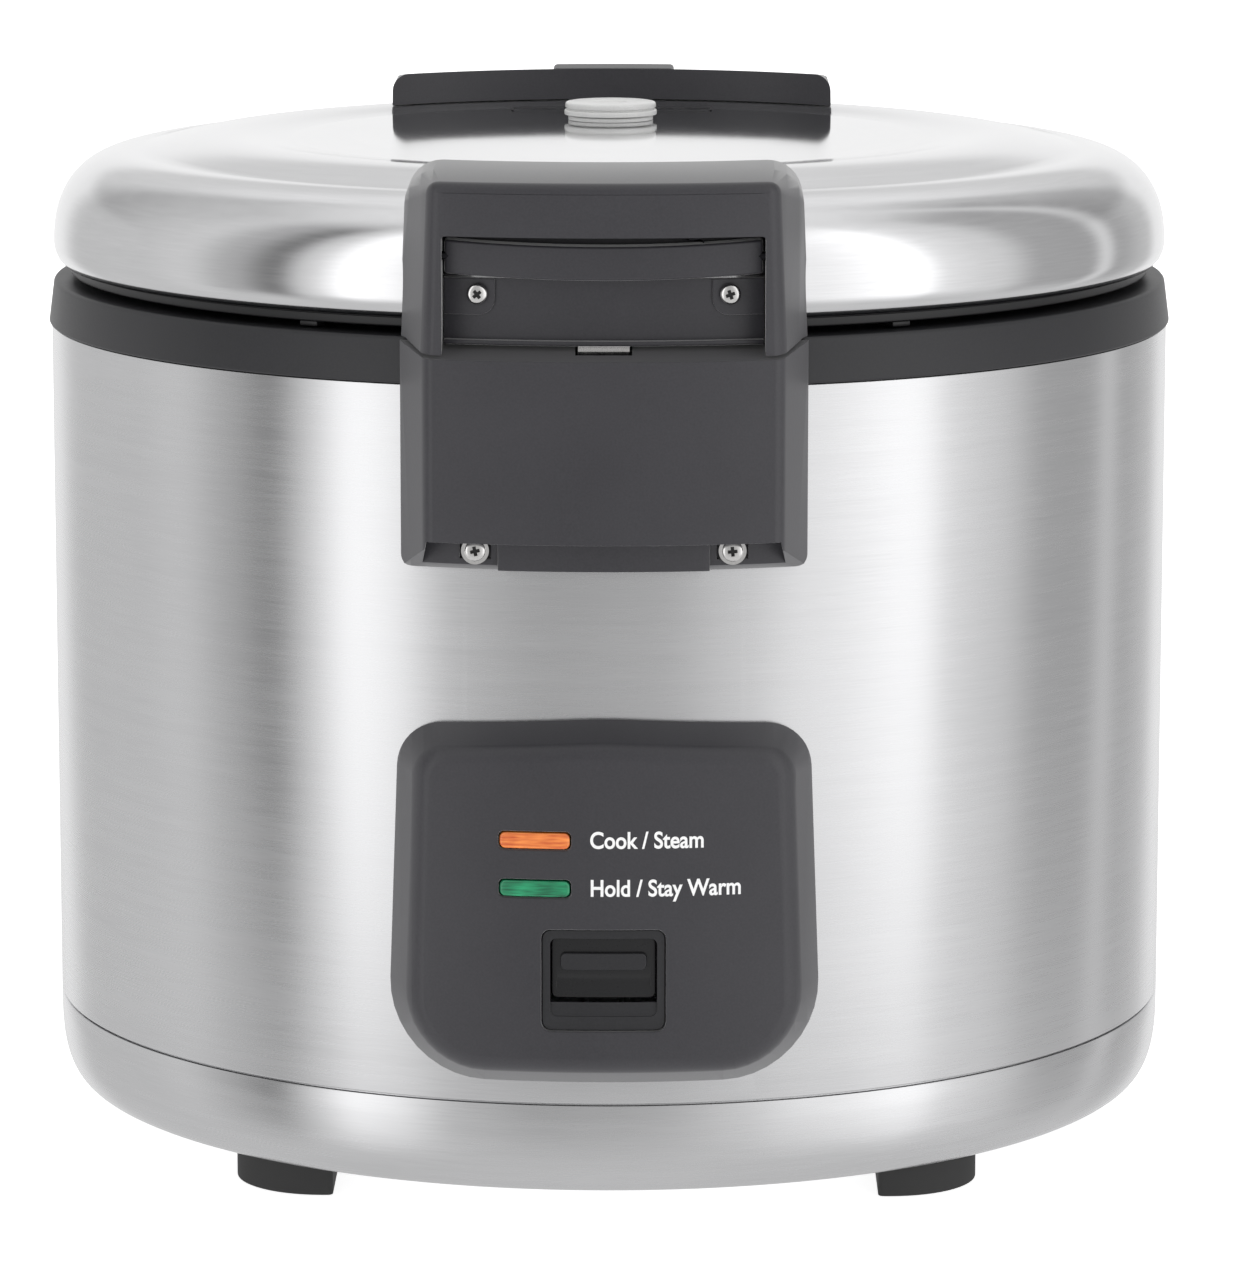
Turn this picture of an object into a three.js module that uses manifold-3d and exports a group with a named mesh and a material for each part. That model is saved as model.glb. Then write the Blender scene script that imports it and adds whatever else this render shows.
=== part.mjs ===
/**
 * Large hinged-lid rice cooker, in millimetres.
 *
 * +Z is up and the front faces -Y. The origin is on the floor, under the axis of the round body.
 * The lid turns on a pin at the rear. A lever in the finger recess at the front swings the latch hook.
 */
import * as THREE from "three";
import { mergeVertices } from "three/addons/utils/BufferGeometryUtils.js";
import Module from "manifold-3d";

const wasm = await Module();
wasm.setup();

// ---- Driving dimensions ----
const clearance = 0.35; // between pieces that touch
const sheet = 1; // sheet steel
const moulding = 2.6; // moulded plastic wall

const bodyRadius = 200;
const footHeight = 13;
const footRadius = 31;
const footStraight = 4;
const footInset = 48;
const footAngle = 0.869;
const panHeight = 33;
const panCorner = 16;
const joggleHeight = 8;
const bottomOpeningInset = 88;
const shellHeight = 242.5;
const collarHeight = 15.5;
const collarFlare = 1;

const wallSpace = 45; // from the body's side to the pot's side
const seatDrop = 5;
const flangeWidth = 8.3;
const flangeThickness = 1.2;
const potWall = 1.5;
const potCorner = 22;
const linerSpace = 6.4;
const leverRoom = 28; // from the pan's rim to the liner's floor
const bossHeight = 5;
const plateThickness = 14;
const plateRadius = 118;
const elementRadius = 86;
const elementThickness = 8;
const sensorRadius = 20.5;

const panelLift = 8; // from the pan's rim
const panelHeight = 124;
const panelHalfWidth = 71;
const panelFace = 16; // stands out from the body's side
const panelCorner = 24;
const switchHalfWidth = 20.75;
const switchHeight = 34.7;
const switchLift = 20.7; // from the panel's lower edge
const windowHalfWidth = 17.75;
const windowHeight = 26.5;
const windowLift = 5; // from the switch frame's lower edge
const knobHeight = 20.4;
const guideDrop = 9.6; // below the liner's floor, clear of the raised lever
const lampLength = 23.9;
const lampHeight = 6.1;
const lampCentre = -23.4;
const warmLampLift = 69.3;
const lampPitch = 16.2;

const frontCoverHalfWidth = 67.5;
const frontCoverHeight = 73.5;
const frontCoverFace = 20;
const frontCoverDrop = 2.5; // below the collar's top
const coverScrewSpread = 42.5;
const coverScrewLift = 7;

const lidGap = 2.4;
const lidFrameHeight = 2.9;
const lidRimInset = 6; // the rim's lower edge, inside the body's radius
const lidShoulder = 31;
const lidShoulderHeight = 33;
const lidCrownRise = 5;
const ringOuter = 135;
const ringInner = 114;
const ringDepth = 1.5;
const ventRadius = 17;
const ventBack = 60;
const ventTube = 10;
const ventHeight = 4.7;

const gripHalfWidth = 66.5;
const gripTopHalfWidth = 63.3;
const gripFace = 19;
const gripTop = 56; // above the collar's top
const gripBack = 30; // reaches in over the lid
const recessHalfWidth = 53;
const recessHeight = 37;
const leverBarHeight = 10.7;
const hookHalfWidth = 8.5;
const gripScrewSpread = 41.5;

const hingeBack = 13; // behind the body's side
const hingeLift = 5; // above the collar's top
const hingePinRadius = 3;
const hingeEarSpread = 40;
const hingeEarWidth = 3.5;
const hingeArmSpread = 33;
const rearHalfWidth = 84;
const rearFace = 20;
const rearTop = 62.3;
const rearFall = 10.5; // from its front edge to its back
const rearPadTop = 58.4;
const rearReach = 69; // reaches in over the lid, from the body's side
const rearCoverHeight = 84;

const cupHalfWidth = 40;
const cupHeight = 60;
const inletHalfWidth = 26;
const inletHeight = 44;
const inletLift = 16;

const roundSides = 40;
const smallSides = 14;

// ---- Heights and radii that follow from them ----
const panTop = footHeight + panHeight;
const shellTop = panTop + shellHeight;
const collarTop = shellTop + collarHeight;
const shellInner = bodyRadius - sheet;
const potRadius = bodyRadius - wallSpace;
const flangeRadius = potRadius + flangeWidth;
const seatTop = collarTop - seatDrop;
const potTop = seatTop + clearance + flangeThickness;
const linerInner = potRadius + linerSpace;
const linerFloor = panTop + leverRoom;
const plateBottom = linerFloor + sheet + bossHeight;
const potBottom = plateBottom + plateThickness + clearance;
const panelBottom = panTop + panelLift;
const switchBottom = panelBottom + switchLift;
const windowBottom = switchBottom + windowLift;
const knobTop = windowBottom + windowHeight - clearance;
const knobBottom = knobTop - knobHeight;
const coverTop = collarTop - frontCoverDrop;
const coverBottom = coverTop - frontCoverHeight;
const frameBottom = collarTop + lidGap;
const lidBottom = frameBottom + lidFrameHeight + clearance;
const lidWidest = bodyRadius - 1;
const shoulderTop = lidBottom + 7 + lidShoulderHeight;
const lidTop = shoulderTop + lidCrownRise;
const plateau = lidTop - ringDepth;
const hingeY = bodyRadius + hingeBack;
const hingeZ = collarTop + hingeLift;
const gripBottom = collarTop - 1;
const recessTop = collarTop + recessHeight - 1;

// ---- Shape helpers ----
function closed(geometry) {
  const bare = geometry.clone();
  bare.deleteAttribute("normal");
  bare.deleteAttribute("uv");
  const merged = mergeVertices(bare, 1e-4);
  const position = merged.attributes.position;
  const corner = [new THREE.Vector3(), new THREE.Vector3(), new THREE.Vector3()];
  const kept = [];
  let volume = 0;
  for (let i = 0; i < merged.index.count; i += 3) {
    const triangle = [0, 1, 2].map((k) => merged.index.getX(i + k));
    if (new Set(triangle).size < 3) continue;
    triangle.forEach((vertex, k) => corner[k].fromBufferAttribute(position, vertex));
    volume += corner[0].dot(corner[1].clone().cross(corner[2]));
    kept.push(triangle);
  }
  merged.setIndex(kept.flatMap(([a, b, c]) => (volume > 0 ? [a, b, c] : [a, c, b])));
  return merged;
}

function solidOf(geometry) {
  const merged = closed(geometry);
  const vertProperties = new Float32Array(merged.attributes.position.array);
  const triVerts = new Uint32Array(merged.index.array);
  return new wasm.Manifold(new wasm.Mesh({ numProp: 3, vertProperties, triVerts }));
}

function geometryOf(solid) {
  const mesh = solid.getMesh();
  const geometry = new THREE.BufferGeometry();
  geometry.setAttribute("position", new THREE.BufferAttribute(mesh.vertProperties, 3));
  geometry.setIndex(new THREE.BufferAttribute(mesh.triVerts, 1));
  return geometry;
}

const combine = (action) => (first, ...others) =>
  geometryOf(others.reduce((result, other) => result[action](solidOf(other)), solidOf(first)));
const cut = combine("subtract");
const join = combine("add");
const clip = combine("intersect");

/** A turned piece round the body's axis, from [radius, height] corners. */
function turned(corners, sides = roundSides) {
  const profile = corners.map(([radius, height]) => new THREE.Vector2(radius, height));
  const onAxis = corners[0][0] === 0 && corners.at(-1)[0] === 0;
  if (!onAxis) profile.push(profile[0].clone());
  return new THREE.LatheGeometry(profile, sides).rotateX(Math.PI / 2);
}

const drum = (radius, low, high, sides = roundSides) =>
  turned([[0, low], [radius, low], [radius, high], [0, high]], sides);
const tube = (inner, outer, low, high, sides = roundSides) =>
  turned([[inner, low], [outer, low], [outer, high], [inner, high]], sides);

function box(xLow, xHigh, yLow, yHigh, zLow, zHigh) {
  const geometry = new THREE.BoxGeometry(xHigh - xLow, yHigh - yLow, zHigh - zLow);
  return geometry.translate((xLow + xHigh) / 2, (yLow + yHigh) / 2, (zLow + zHigh) / 2);
}

const post = (radius, x, y, low, high, sides = smallSides) => drum(radius, low, high, sides).translate(x, y, 0);
const axle = (radius, xLow, xHigh, y, z, sides = smallSides) =>
  drum(radius, xLow, xHigh, sides).rotateY(Math.PI / 2).translate(0, y, z);
const bolt = (radius, x, z, yLow, yHigh, sides = smallSides) =>
  drum(radius, yLow, yHigh, sides).rotateX(-Math.PI / 2).translate(x, 0, z);

/** An outline whose [x, y, radius] corners are rounded. */
function outline(corners) {
  const shape = new THREE.Shape();
  corners.forEach(([x, y, radius], i) => {
    const here = new THREE.Vector2(x, y);
    const [before, after] = [corners.at(i - 1), corners[(i + 1) % corners.length]].map(([nx, ny]) =>
      new THREE.Vector2(nx, ny).sub(here).normalize().multiplyScalar(radius).add(here));
    if (i === 0) shape.moveTo(before.x, before.y);
    else shape.lineTo(before.x, before.y);
    if (radius > 0) shape.quadraticCurveTo(x, y, after.x, after.y);
  });
  return shape;
}

const rectangle = (halfWidth, low, high, radius) =>
  outline([[-halfWidth, low, radius], [halfWidth, low, radius], [halfWidth, high, radius], [-halfWidth, high, radius]]);

/** An X-Z outline pushed from one Y to another. */
function slab(shape, yLow, yHigh, curveSegments = 4) {
  const geometry = new THREE.ExtrudeGeometry(shape, { depth: yHigh - yLow, bevelEnabled: false, curveSegments });
  return geometry.rotateX(Math.PI / 2).translate(0, yHigh, 0);
}

/** A Y-Z outline given a width in X. */
function sideProfile(corners, xLow, xHigh) {
  const shape = new THREE.Shape(corners.map(([y, z]) => new THREE.Vector2(y, z)));
  const geometry = new THREE.ExtrudeGeometry(shape, { depth: xHigh - xLow, bevelEnabled: false });
  return geometry.rotateY(Math.PI / 2).rotateX(Math.PI / 2).translate(xLow, 0, 0);
}

/** A block on the front of the body whose edges slope in towards a face that is round like the body. */
function facedBlock(shape, slopeStart, slope, faceRadius) {
  const depth = 95;
  const run = faceRadius - slopeStart + 1;
  const geometry = new THREE.ExtrudeGeometry(shape, {
    depth,
    bevelEnabled: true,
    bevelSegments: 1,
    bevelThickness: run,
    bevelSize: slope * run,
    bevelOffset: -slope * run,
    curveSegments: 4,
  });
  geometry.rotateX(Math.PI / 2).translate(0, depth - slopeStart, 0);
  return clip(geometry, drum(faceRadius, -50, 500));
}

const atRear = (geometry) => geometry.clone().rotateZ(Math.PI);

class Coil extends THREE.Curve {
  constructor(radius, turns, low, high) {
    super();
    Object.assign(this, { radius, turns, low, high });
  }

  getPoint(t) {
    const angle = t * this.turns * 2 * Math.PI;
    const height = this.low + t * (this.high - this.low);
    return new THREE.Vector3(this.radius * Math.cos(angle), this.radius * Math.sin(angle), height);
  }
}

function coilSpring(radius, wire, turns, low, high) {
  const section = new THREE.Shape().absarc(0, 0, wire / 2, 0, 2 * Math.PI);
  const extrudePath = new Coil(radius, turns, low, high);
  return new THREE.ExtrudeGeometry(section, { steps: turns * 8, extrudePath, curveSegments: 2 });
}

// ---- Materials ----
const finish = (color, roughness, metalness) => ({ color, roughness, metalness });
const brushed = finish(0xc9cacb, 0.3, 1);
const satin = finish(0xd3d4d5, 0.22, 1);
const charcoal = finish(0x47474b, 0.55, 0);
const black = finish(0x18181a, 0.5, 0);
const rubber = finish(0x26272a, 0.8, 0);
const aluminium = finish(0xbfc1c4, 0.4, 1);
const zinc = finish(0xb5b8bb, 0.35, 1);
const bright = finish(0xe2e3e4, 0.15, 1);
const nonStick = finish(0x3a3b3d, 0.45, 0.2);
const silicone = finish(0xdedcd6, 0.6, 0);
const white = finish(0xf2f2ef, 0.35, 0);
const orange = finish(0xf57a22, 0.2, 0);
const green = finish(0x14a066, 0.2, 0);
const board = finish(0x2d6b45, 0.6, 0);

const cooker = new THREE.Group();
const base = new THREE.Group();
const lid = new THREE.Group();
cooker.add(base, lid);

function add(group, name, geometry, look) {
  const mesh = new THREE.Mesh(closed(geometry), new THREE.MeshStandardMaterial(look));
  mesh.name = name;
  group.add(mesh);
}

// ---- Bottom pan and feet ----
function panCurve(inset, lift) {
  const centre = bodyRadius - panCorner;
  return [0, 0.3, 0.6, 0.85, 1].map((share) => {
    const angle = (share * Math.PI) / 2;
    const out = (panCorner - inset) * Math.sin(angle) ** (2 / 3);
    const down = (panHeight - clearance - lift) * Math.cos(angle) ** (2 / 3);
    return [centre + out, panTop - clearance - down];
  });
}

function makePan() {
  const opening = bodyRadius - bottomOpeningInset;
  const joggle = shellInner - clearance;
  const inner = panCurve(panCorner - (joggle - sheet - bodyRadius + panCorner), sheet).reverse();
  const corners = [
    [opening, footHeight],
    ...panCurve(0, 0),
    [joggle, panTop - clearance],
    [joggle, panTop + joggleHeight],
    [joggle - sheet, panTop + joggleHeight],
    ...inner,
    [opening, footHeight + sheet],
  ];
  add(base, "base_pan", turned(corners), brushed);

  const coverLow = footHeight + sheet + clearance;
  const origin = new THREE.Vector2(0, 0);
  const disc = new THREE.Shape().absarc(0, 0, opening + 8, 0, 2 * Math.PI);
  for (let slot = 0; slot < 8; slot += 1) {
    const centre = new THREE.Vector2(60, 0).rotateAround(origin, (slot * Math.PI) / 4);
    const ends = [[-18, -3], [18, -3], [18, 3], [-18, 3]].map(([x, y]) =>
      new THREE.Vector2(x, y).rotateAround(origin, (slot * Math.PI) / 4).add(centre));
    disc.holes.push(new THREE.Path(ends));
  }
  const cover = new THREE.ExtrudeGeometry(disc, { depth: sheet, bevelEnabled: false, curveSegments: 20 });
  add(base, "bottom_cover", cover.translate(0, 0, coverLow), zinc);
}

function makeFeet() {
  const corner = 3;
  const shape = new THREE.Shape();
  shape.moveTo(corner - footStraight, -footRadius);
  shape.absarc(0, 0, footRadius, -Math.PI / 2, Math.PI / 2);
  shape.absarc(corner - footStraight, footRadius - corner, corner, Math.PI / 2, Math.PI);
  shape.absarc(corner - footStraight, corner - footRadius, corner, Math.PI, 1.5 * Math.PI);
  const pad = new THREE.ExtrudeGeometry(shape, {
    depth: footHeight - clearance, bevelEnabled: false, curveSegments: 5,
  });
  const reach = bodyRadius - footInset;
  for (const [name, across, along] of [
    ["foot_front_left", -1, -1],
    ["foot_front_right", 1, -1],
    ["foot_rear_left", -1, 1],
    ["foot_rear_right", 1, 1],
  ]) {
    const foot = pad.clone().scale(across, 1, 1);
    foot.translate(across * reach * Math.cos(footAngle), along * reach * Math.sin(footAngle), 0);
    add(base, name, foot, rubber);
  }
}

// ---- Shell, collar and what they hold ----
const frontOpening = () => box(-46, 46, -bodyRadius - 5, -bodyRadius + 60, panelBottom + 9, panelBottom + 112);

function makeShell() {
  const shell = tube(shellInner, bodyRadius, panTop, shellTop - clearance);
  const inletLow = panTop + inletLift + 6;
  const inletOpening = box(-inletHalfWidth + 6, inletHalfWidth - 6, 150, bodyRadius + 5, inletLow, inletLow + inletHeight - 12);
  add(base, "outer_shell", cut(shell, frontOpening(), inletOpening), brushed);

  const rim = collarTop - moulding;
  const outerWall = shellInner - clearance;
  const collar = turned([
    [linerInner - clearance - moulding, seatTop - 13],
    [linerInner - clearance, seatTop - 13],
    [linerInner - clearance, seatTop - moulding],
    [flangeRadius + 5, seatTop - moulding],
    [flangeRadius + 5, rim],
    [outerWall - moulding, rim],
    [outerWall - moulding, shellTop - 8],
    [outerWall, shellTop - 8],
    [outerWall, shellTop],
    [bodyRadius + collarFlare, shellTop],
    [bodyRadius - collarFlare, collarTop],
    [flangeRadius + 2.2, collarTop],
    [flangeRadius + 2.2, seatTop],
    [linerInner - clearance - moulding, seatTop],
  ]);
  add(base, "upper_collar", collar, charcoal);
}

function makeLiner() {
  const top = seatTop - moulding - clearance;
  const liner = turned([
    [14, linerFloor],
    [linerInner + sheet, linerFloor],
    [linerInner + sheet, top],
    [linerInner, top],
    [linerInner, linerFloor + sheet],
    [14, linerFloor + sheet],
  ]);
  add(base, "inner_liner", liner, zinc);
  const band = tube(linerInner + sheet + clearance, linerInner + sheet + clearance + 2, linerFloor + 100, linerFloor + 160);
  add(base, "warming_band", band, silicone);
}

function makeHeater() {
  const groove = elementThickness / 2 + 1;
  const plate = turned([
    [sensorRadius + 1.5, plateBottom],
    [elementRadius - groove, plateBottom],
    [elementRadius - groove, plateBottom + elementThickness + 1],
    [elementRadius + groove, plateBottom + elementThickness + 1],
    [elementRadius + groove, plateBottom],
    [plateRadius, plateBottom],
    [plateRadius, plateBottom + plateThickness - 2],
    [plateRadius - 2, plateBottom + plateThickness],
    [sensorRadius + 1.5, plateBottom + plateThickness],
  ], 32);
  const bosses = [0, 1, 2].map((step) => {
    const angle = (step * 2 * Math.PI) / 3 + Math.PI / 2;
    return post(5, 104 * Math.cos(angle), 104 * Math.sin(angle), linerFloor + sheet + clearance, plateBottom + 1, 12);
  });
  add(base, "heating_plate", join(plate, ...bosses), aluminium);

  const halfGap = 0.18;
  const section = new THREE.Shape().absarc(0, 0, elementThickness / 2, 0, 2 * Math.PI);
  const start = Math.PI / 2 + halfGap;
  const end = Math.PI / 2 - halfGap + 2 * Math.PI;
  const arc = new THREE.CatmullRomCurve3(Array.from({ length: 25 }, (_, i) => {
    const angle = start + ((end - start) * i) / 24;
    return new THREE.Vector3(elementRadius * Math.cos(angle), elementRadius * Math.sin(angle), 0);
  }));
  const element = new THREE.ExtrudeGeometry(section, { steps: 30, extrudePath: arc, curveSegments: 3 });
  add(base, "heating_element", element.translate(0, 0, plateBottom + elementThickness / 2 + 0.2), zinc);
}

function makePot() {
  const bend = (radius) => [0, 0.25, 0.5, 0.75, 1].map((share) => {
    const angle = (share * Math.PI) / 2;
    const centreRadius = potRadius - potCorner;
    const centreHeight = potBottom + potCorner;
    return [centreRadius + radius * Math.sin(angle), centreHeight - radius * Math.cos(angle)];
  });
  const pot = turned([
    [0, potBottom],
    ...bend(potCorner),
    [potRadius, potTop - flangeThickness],
    [flangeRadius, potTop - flangeThickness],
    [flangeRadius, potTop],
    [potRadius - potWall, potTop],
    ...bend(potCorner - potWall).reverse(),
    [0, potBottom + potWall],
  ]);
  add(base, "inner_pot", pot, nonStick);
}

// ---- Temperature sensor in the middle of the heating plate ----
const guideFlange = linerFloor + sheet + clearance + 1.3;
const capTop = plateBottom + plateThickness - 0.1;
const magnetBottom = linerFloor - 13.8;

function makeSensor() {
  const skirt = 10.6;
  const cap = turned([
    [0, linerFloor + 2],
    [8, linerFloor + 2],
    [8, capTop - 3],
    [sensorRadius - 2, capTop - 3],
    [sensorRadius - 2, capTop - skirt],
    [sensorRadius, capTop - skirt],
    [sensorRadius, capTop],
    [0, capTop],
  ], 24);
  add(base, "sensor_cap", cap, aluminium);
  const guide = turned([
    [10.5, linerFloor - guideDrop],
    [12.5, linerFloor - guideDrop],
    [12.5, guideFlange - 1.3],
    [19, guideFlange - 1.3],
    [19, guideFlange],
    [12.5, guideFlange],
    [12.5, linerFloor + 6],
    [10.5, linerFloor + 6],
  ], 24);
  add(base, "sensor_guide", guide, zinc);
  add(base, "sensor_spring", coilSpring(15.5, 1.2, 4, guideFlange + 1, capTop - 4), bright);
  add(base, "sensor_magnet", drum(9, magnetBottom, magnetBottom + 6, 24), black);
}

// ---- Cooking lever ----
const pivotY = -(bodyRadius - 100);
const pivotZ = linerFloor - 19;
const leverTop = magnetBottom - 0.6;
const knobBack = -(bodyRadius + 4.5);
const knobFront = -(bodyRadius + panelFace - 4.5);

function makeLever() {
  const halfWidth = 5;
  const cheek = 2;
  const low = pivotZ - 6;
  const top = linerFloor - clearance;
  const cheeks = [-1, 1].map((side) => {
    const inner = side * (halfWidth + 1);
    const outer = side * (halfWidth + 1 + cheek);
    return box(Math.min(inner, outer), Math.max(inner, outer), pivotY - 10, pivotY + 10, low, top);
  });
  const bridge = box(-halfWidth - 2, halfWidth + 2, pivotY - 10, pivotY + 10, top - cheek, top);
  const bore = axle(2 + clearance, -20, 20, pivotY, pivotZ);
  add(base, "lever_bracket", cut(join(bridge, ...cheeks), bore), zinc);
  add(base, "lever_pivot_pin", axle(2, -halfWidth - 5, halfWidth + 5, pivotY, pivotZ), bright);

  const knobMiddle = (knobBottom + knobTop) / 2;
  const under = leverTop - 7;
  const elbow = -(bodyRadius - 22);
  const arm = sideProfile([
    [8, leverTop - 4],
    [8, leverTop],
    [elbow, leverTop],
    [knobBack + 1 + clearance, knobMiddle + 5],
    [knobBack + clearance, knobMiddle + 5],
    [knobBack + clearance, knobMiddle - 5],
    [elbow - 1, under],
    [pivotY, under],
  ], -halfWidth, halfWidth);
  add(base, "lever_arm", cut(arm, bore), zinc);

  const body = slab(rectangle(windowHalfWidth - 0.5, knobBottom, knobTop, 2), knobFront, knobBack);
  const finger = slab(rectangle(14.4, knobTop - 10.8, knobTop - 5, 2), knobFront - 1.5, knobFront + 1);
  add(base, "cook_knob", join(body, finger), black);

  const spring = coilSpring(3.5, 1, 5, leverTop + 0.8, linerFloor - 1.2);
  add(base, "lever_return_spring", spring.translate(0, pivotY - 45, 0), bright);
  const switchBody = box(-10, 10, pivotY + 30, pivotY + 55, leverTop + 4, linerFloor - clearance);
  add(base, "microswitch", switchBody, black);
}

// ---- Control panel ----
function makePanel() {
  const face = bodyRadius + panelFace;
  const top = panelBottom + panelHeight;
  const shape = outline([
    [-panelHalfWidth - 1.5, panelBottom, panelCorner + 12],
    [panelHalfWidth + 1.5, panelBottom, panelCorner + 12],
    [panelHalfWidth - 2, top, panelCorner + 3],
    [-panelHalfWidth + 2, top, panelCorner + 3],
  ]);
  const block = facedBlock(shape, bodyRadius - 6, 0.41, face);
  const cavity = clip(
    box(-57, 57, -bodyRadius - 30, -bodyRadius + 60, panelBottom + 9, top - 9),
    drum(face - moulding, -50, 500),
  );
  const lamps = [0, 1].map((row) => lampBlock(row, clearance));
  const frameHole = slab(rectangle(switchHalfWidth, switchBottom, switchBottom + switchHeight, 3), -face - 5, -bodyRadius + 5);
  const panel = cut(block, drum(bodyRadius + clearance, -50, 500), cavity, ...lamps, frameHole);
  add(base, "control_panel", panel, charcoal);

  const frame = slab(
    rectangle(switchHalfWidth - clearance, switchBottom + clearance, switchBottom + switchHeight - clearance, 3),
    -face + 1.4, -bodyRadius - 2);
  const window = slab(rectangle(windowHalfWidth, windowBottom, windowBottom + windowHeight, 2), -face - 5, -bodyRadius + 5);
  add(base, "switch_frame", cut(frame, window), charcoal);
  add(base, "cook_lamp_lens", lampBlock(1, 0), orange);
  add(base, "warm_lamp_lens", lampBlock(0, 0), green);
  const boardLow = panelBottom + warmLampLift - lampHeight;
  const circuit = box(lampCentre - 16, lampCentre + 34, -bodyRadius - 5, -bodyRadius - 3.4, boardLow, boardLow + 28);
  add(base, "lamp_board", circuit, board);
}

function lampBlock(row, margin) {
  const low = panelBottom + warmLampLift + row * lampPitch - lampHeight / 2 - margin;
  const half = lampLength / 2 + margin;
  const proud = 0.5 + margin * 10;
  const shape = rectangle(half, low, low + lampHeight + 2 * margin, 1.5);
  const block = slab(shape, -bodyRadius - panelFace - 4, -bodyRadius - 7 + margin * 10).translate(lampCentre, 0, 0);
  return clip(block, drum(bodyRadius + panelFace + proud, -50, 500));
}

// ---- Front cover of the latch ----
function makeFrontCover() {
  const face = bodyRadius + frontCoverFace;
  const inner = bodyRadius + collarFlare + clearance;
  const tall = outline([
    [-frontCoverHalfWidth, coverBottom, 0],
    [frontCoverHalfWidth, coverBottom, 0],
    [frontCoverHalfWidth, coverTop + 40, 0],
    [-frontCoverHalfWidth, coverTop + 40, 0],
  ]);
  const block = facedBlock(tall, bodyRadius - 9, 0.42, face);
  const keep = box(-80, 80, -face - 5, 0, coverBottom - 1, coverTop);
  const lip = cut(
    box(-80, 80, -face - 5, -bodyRadius + 20, coverBottom - 5, coverBottom + 11),
    drum(bodyRadius + 7, -50, 500),
  );
  const cavity = clip(
    box(-54, 54, -face - 5, -100, coverBottom + 14, coverTop - 4),
    drum(face - moulding, -50, 500),
  );
  const hookSlot = box(-hookHalfWidth - 6, hookHalfWidth + 6, -face + moulding, -100, coverTop - 20, coverTop + 5);
  const screwZ = coverBottom + coverScrewLift;
  const seat = -Math.sqrt((bodyRadius + 7) ** 2 - (coverScrewSpread - 5) ** 2) - clearance;
  const screwHoles = [-1, 1].flatMap((side) => [
    bolt(2 + clearance, side * coverScrewSpread, screwZ, -bodyRadius - 10, -bodyRadius + 15),
    bolt(4.6 + clearance, side * coverScrewSpread, screwZ, -bodyRadius - 10, seat + clearance),
  ]);
  const shaped = clip(cut(block, lip), keep);
  const cover = cut(shaped, drum(inner, -50, 500), cavity, hookSlot, ...screwHoles);
  add(base, "front_latch_cover", cover, charcoal);

  for (const [name, side] of [["cover_screw_left", -1], ["cover_screw_right", 1]]) {
    const x = side * coverScrewSpread;
    const shank = bolt(2, x, screwZ, seat - 1, seat + 6, 12);
    add(base, name, join(bolt(4.6, x, screwZ, seat - 2.2, seat, 16), shank), bright);
  }

  const plateY = -(bodyRadius + collarFlare + 0.6);
  const strike = join(
    box(-16, 16, plateY - 1.5, plateY, collarTop - 19, collarTop - 8),
    box(-hookHalfWidth, hookHalfWidth, plateY - 4, plateY - 0.5, collarTop - 9.5, collarTop - 8),
  );
  add(base, "strike_plate", strike, zinc);
}

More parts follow.
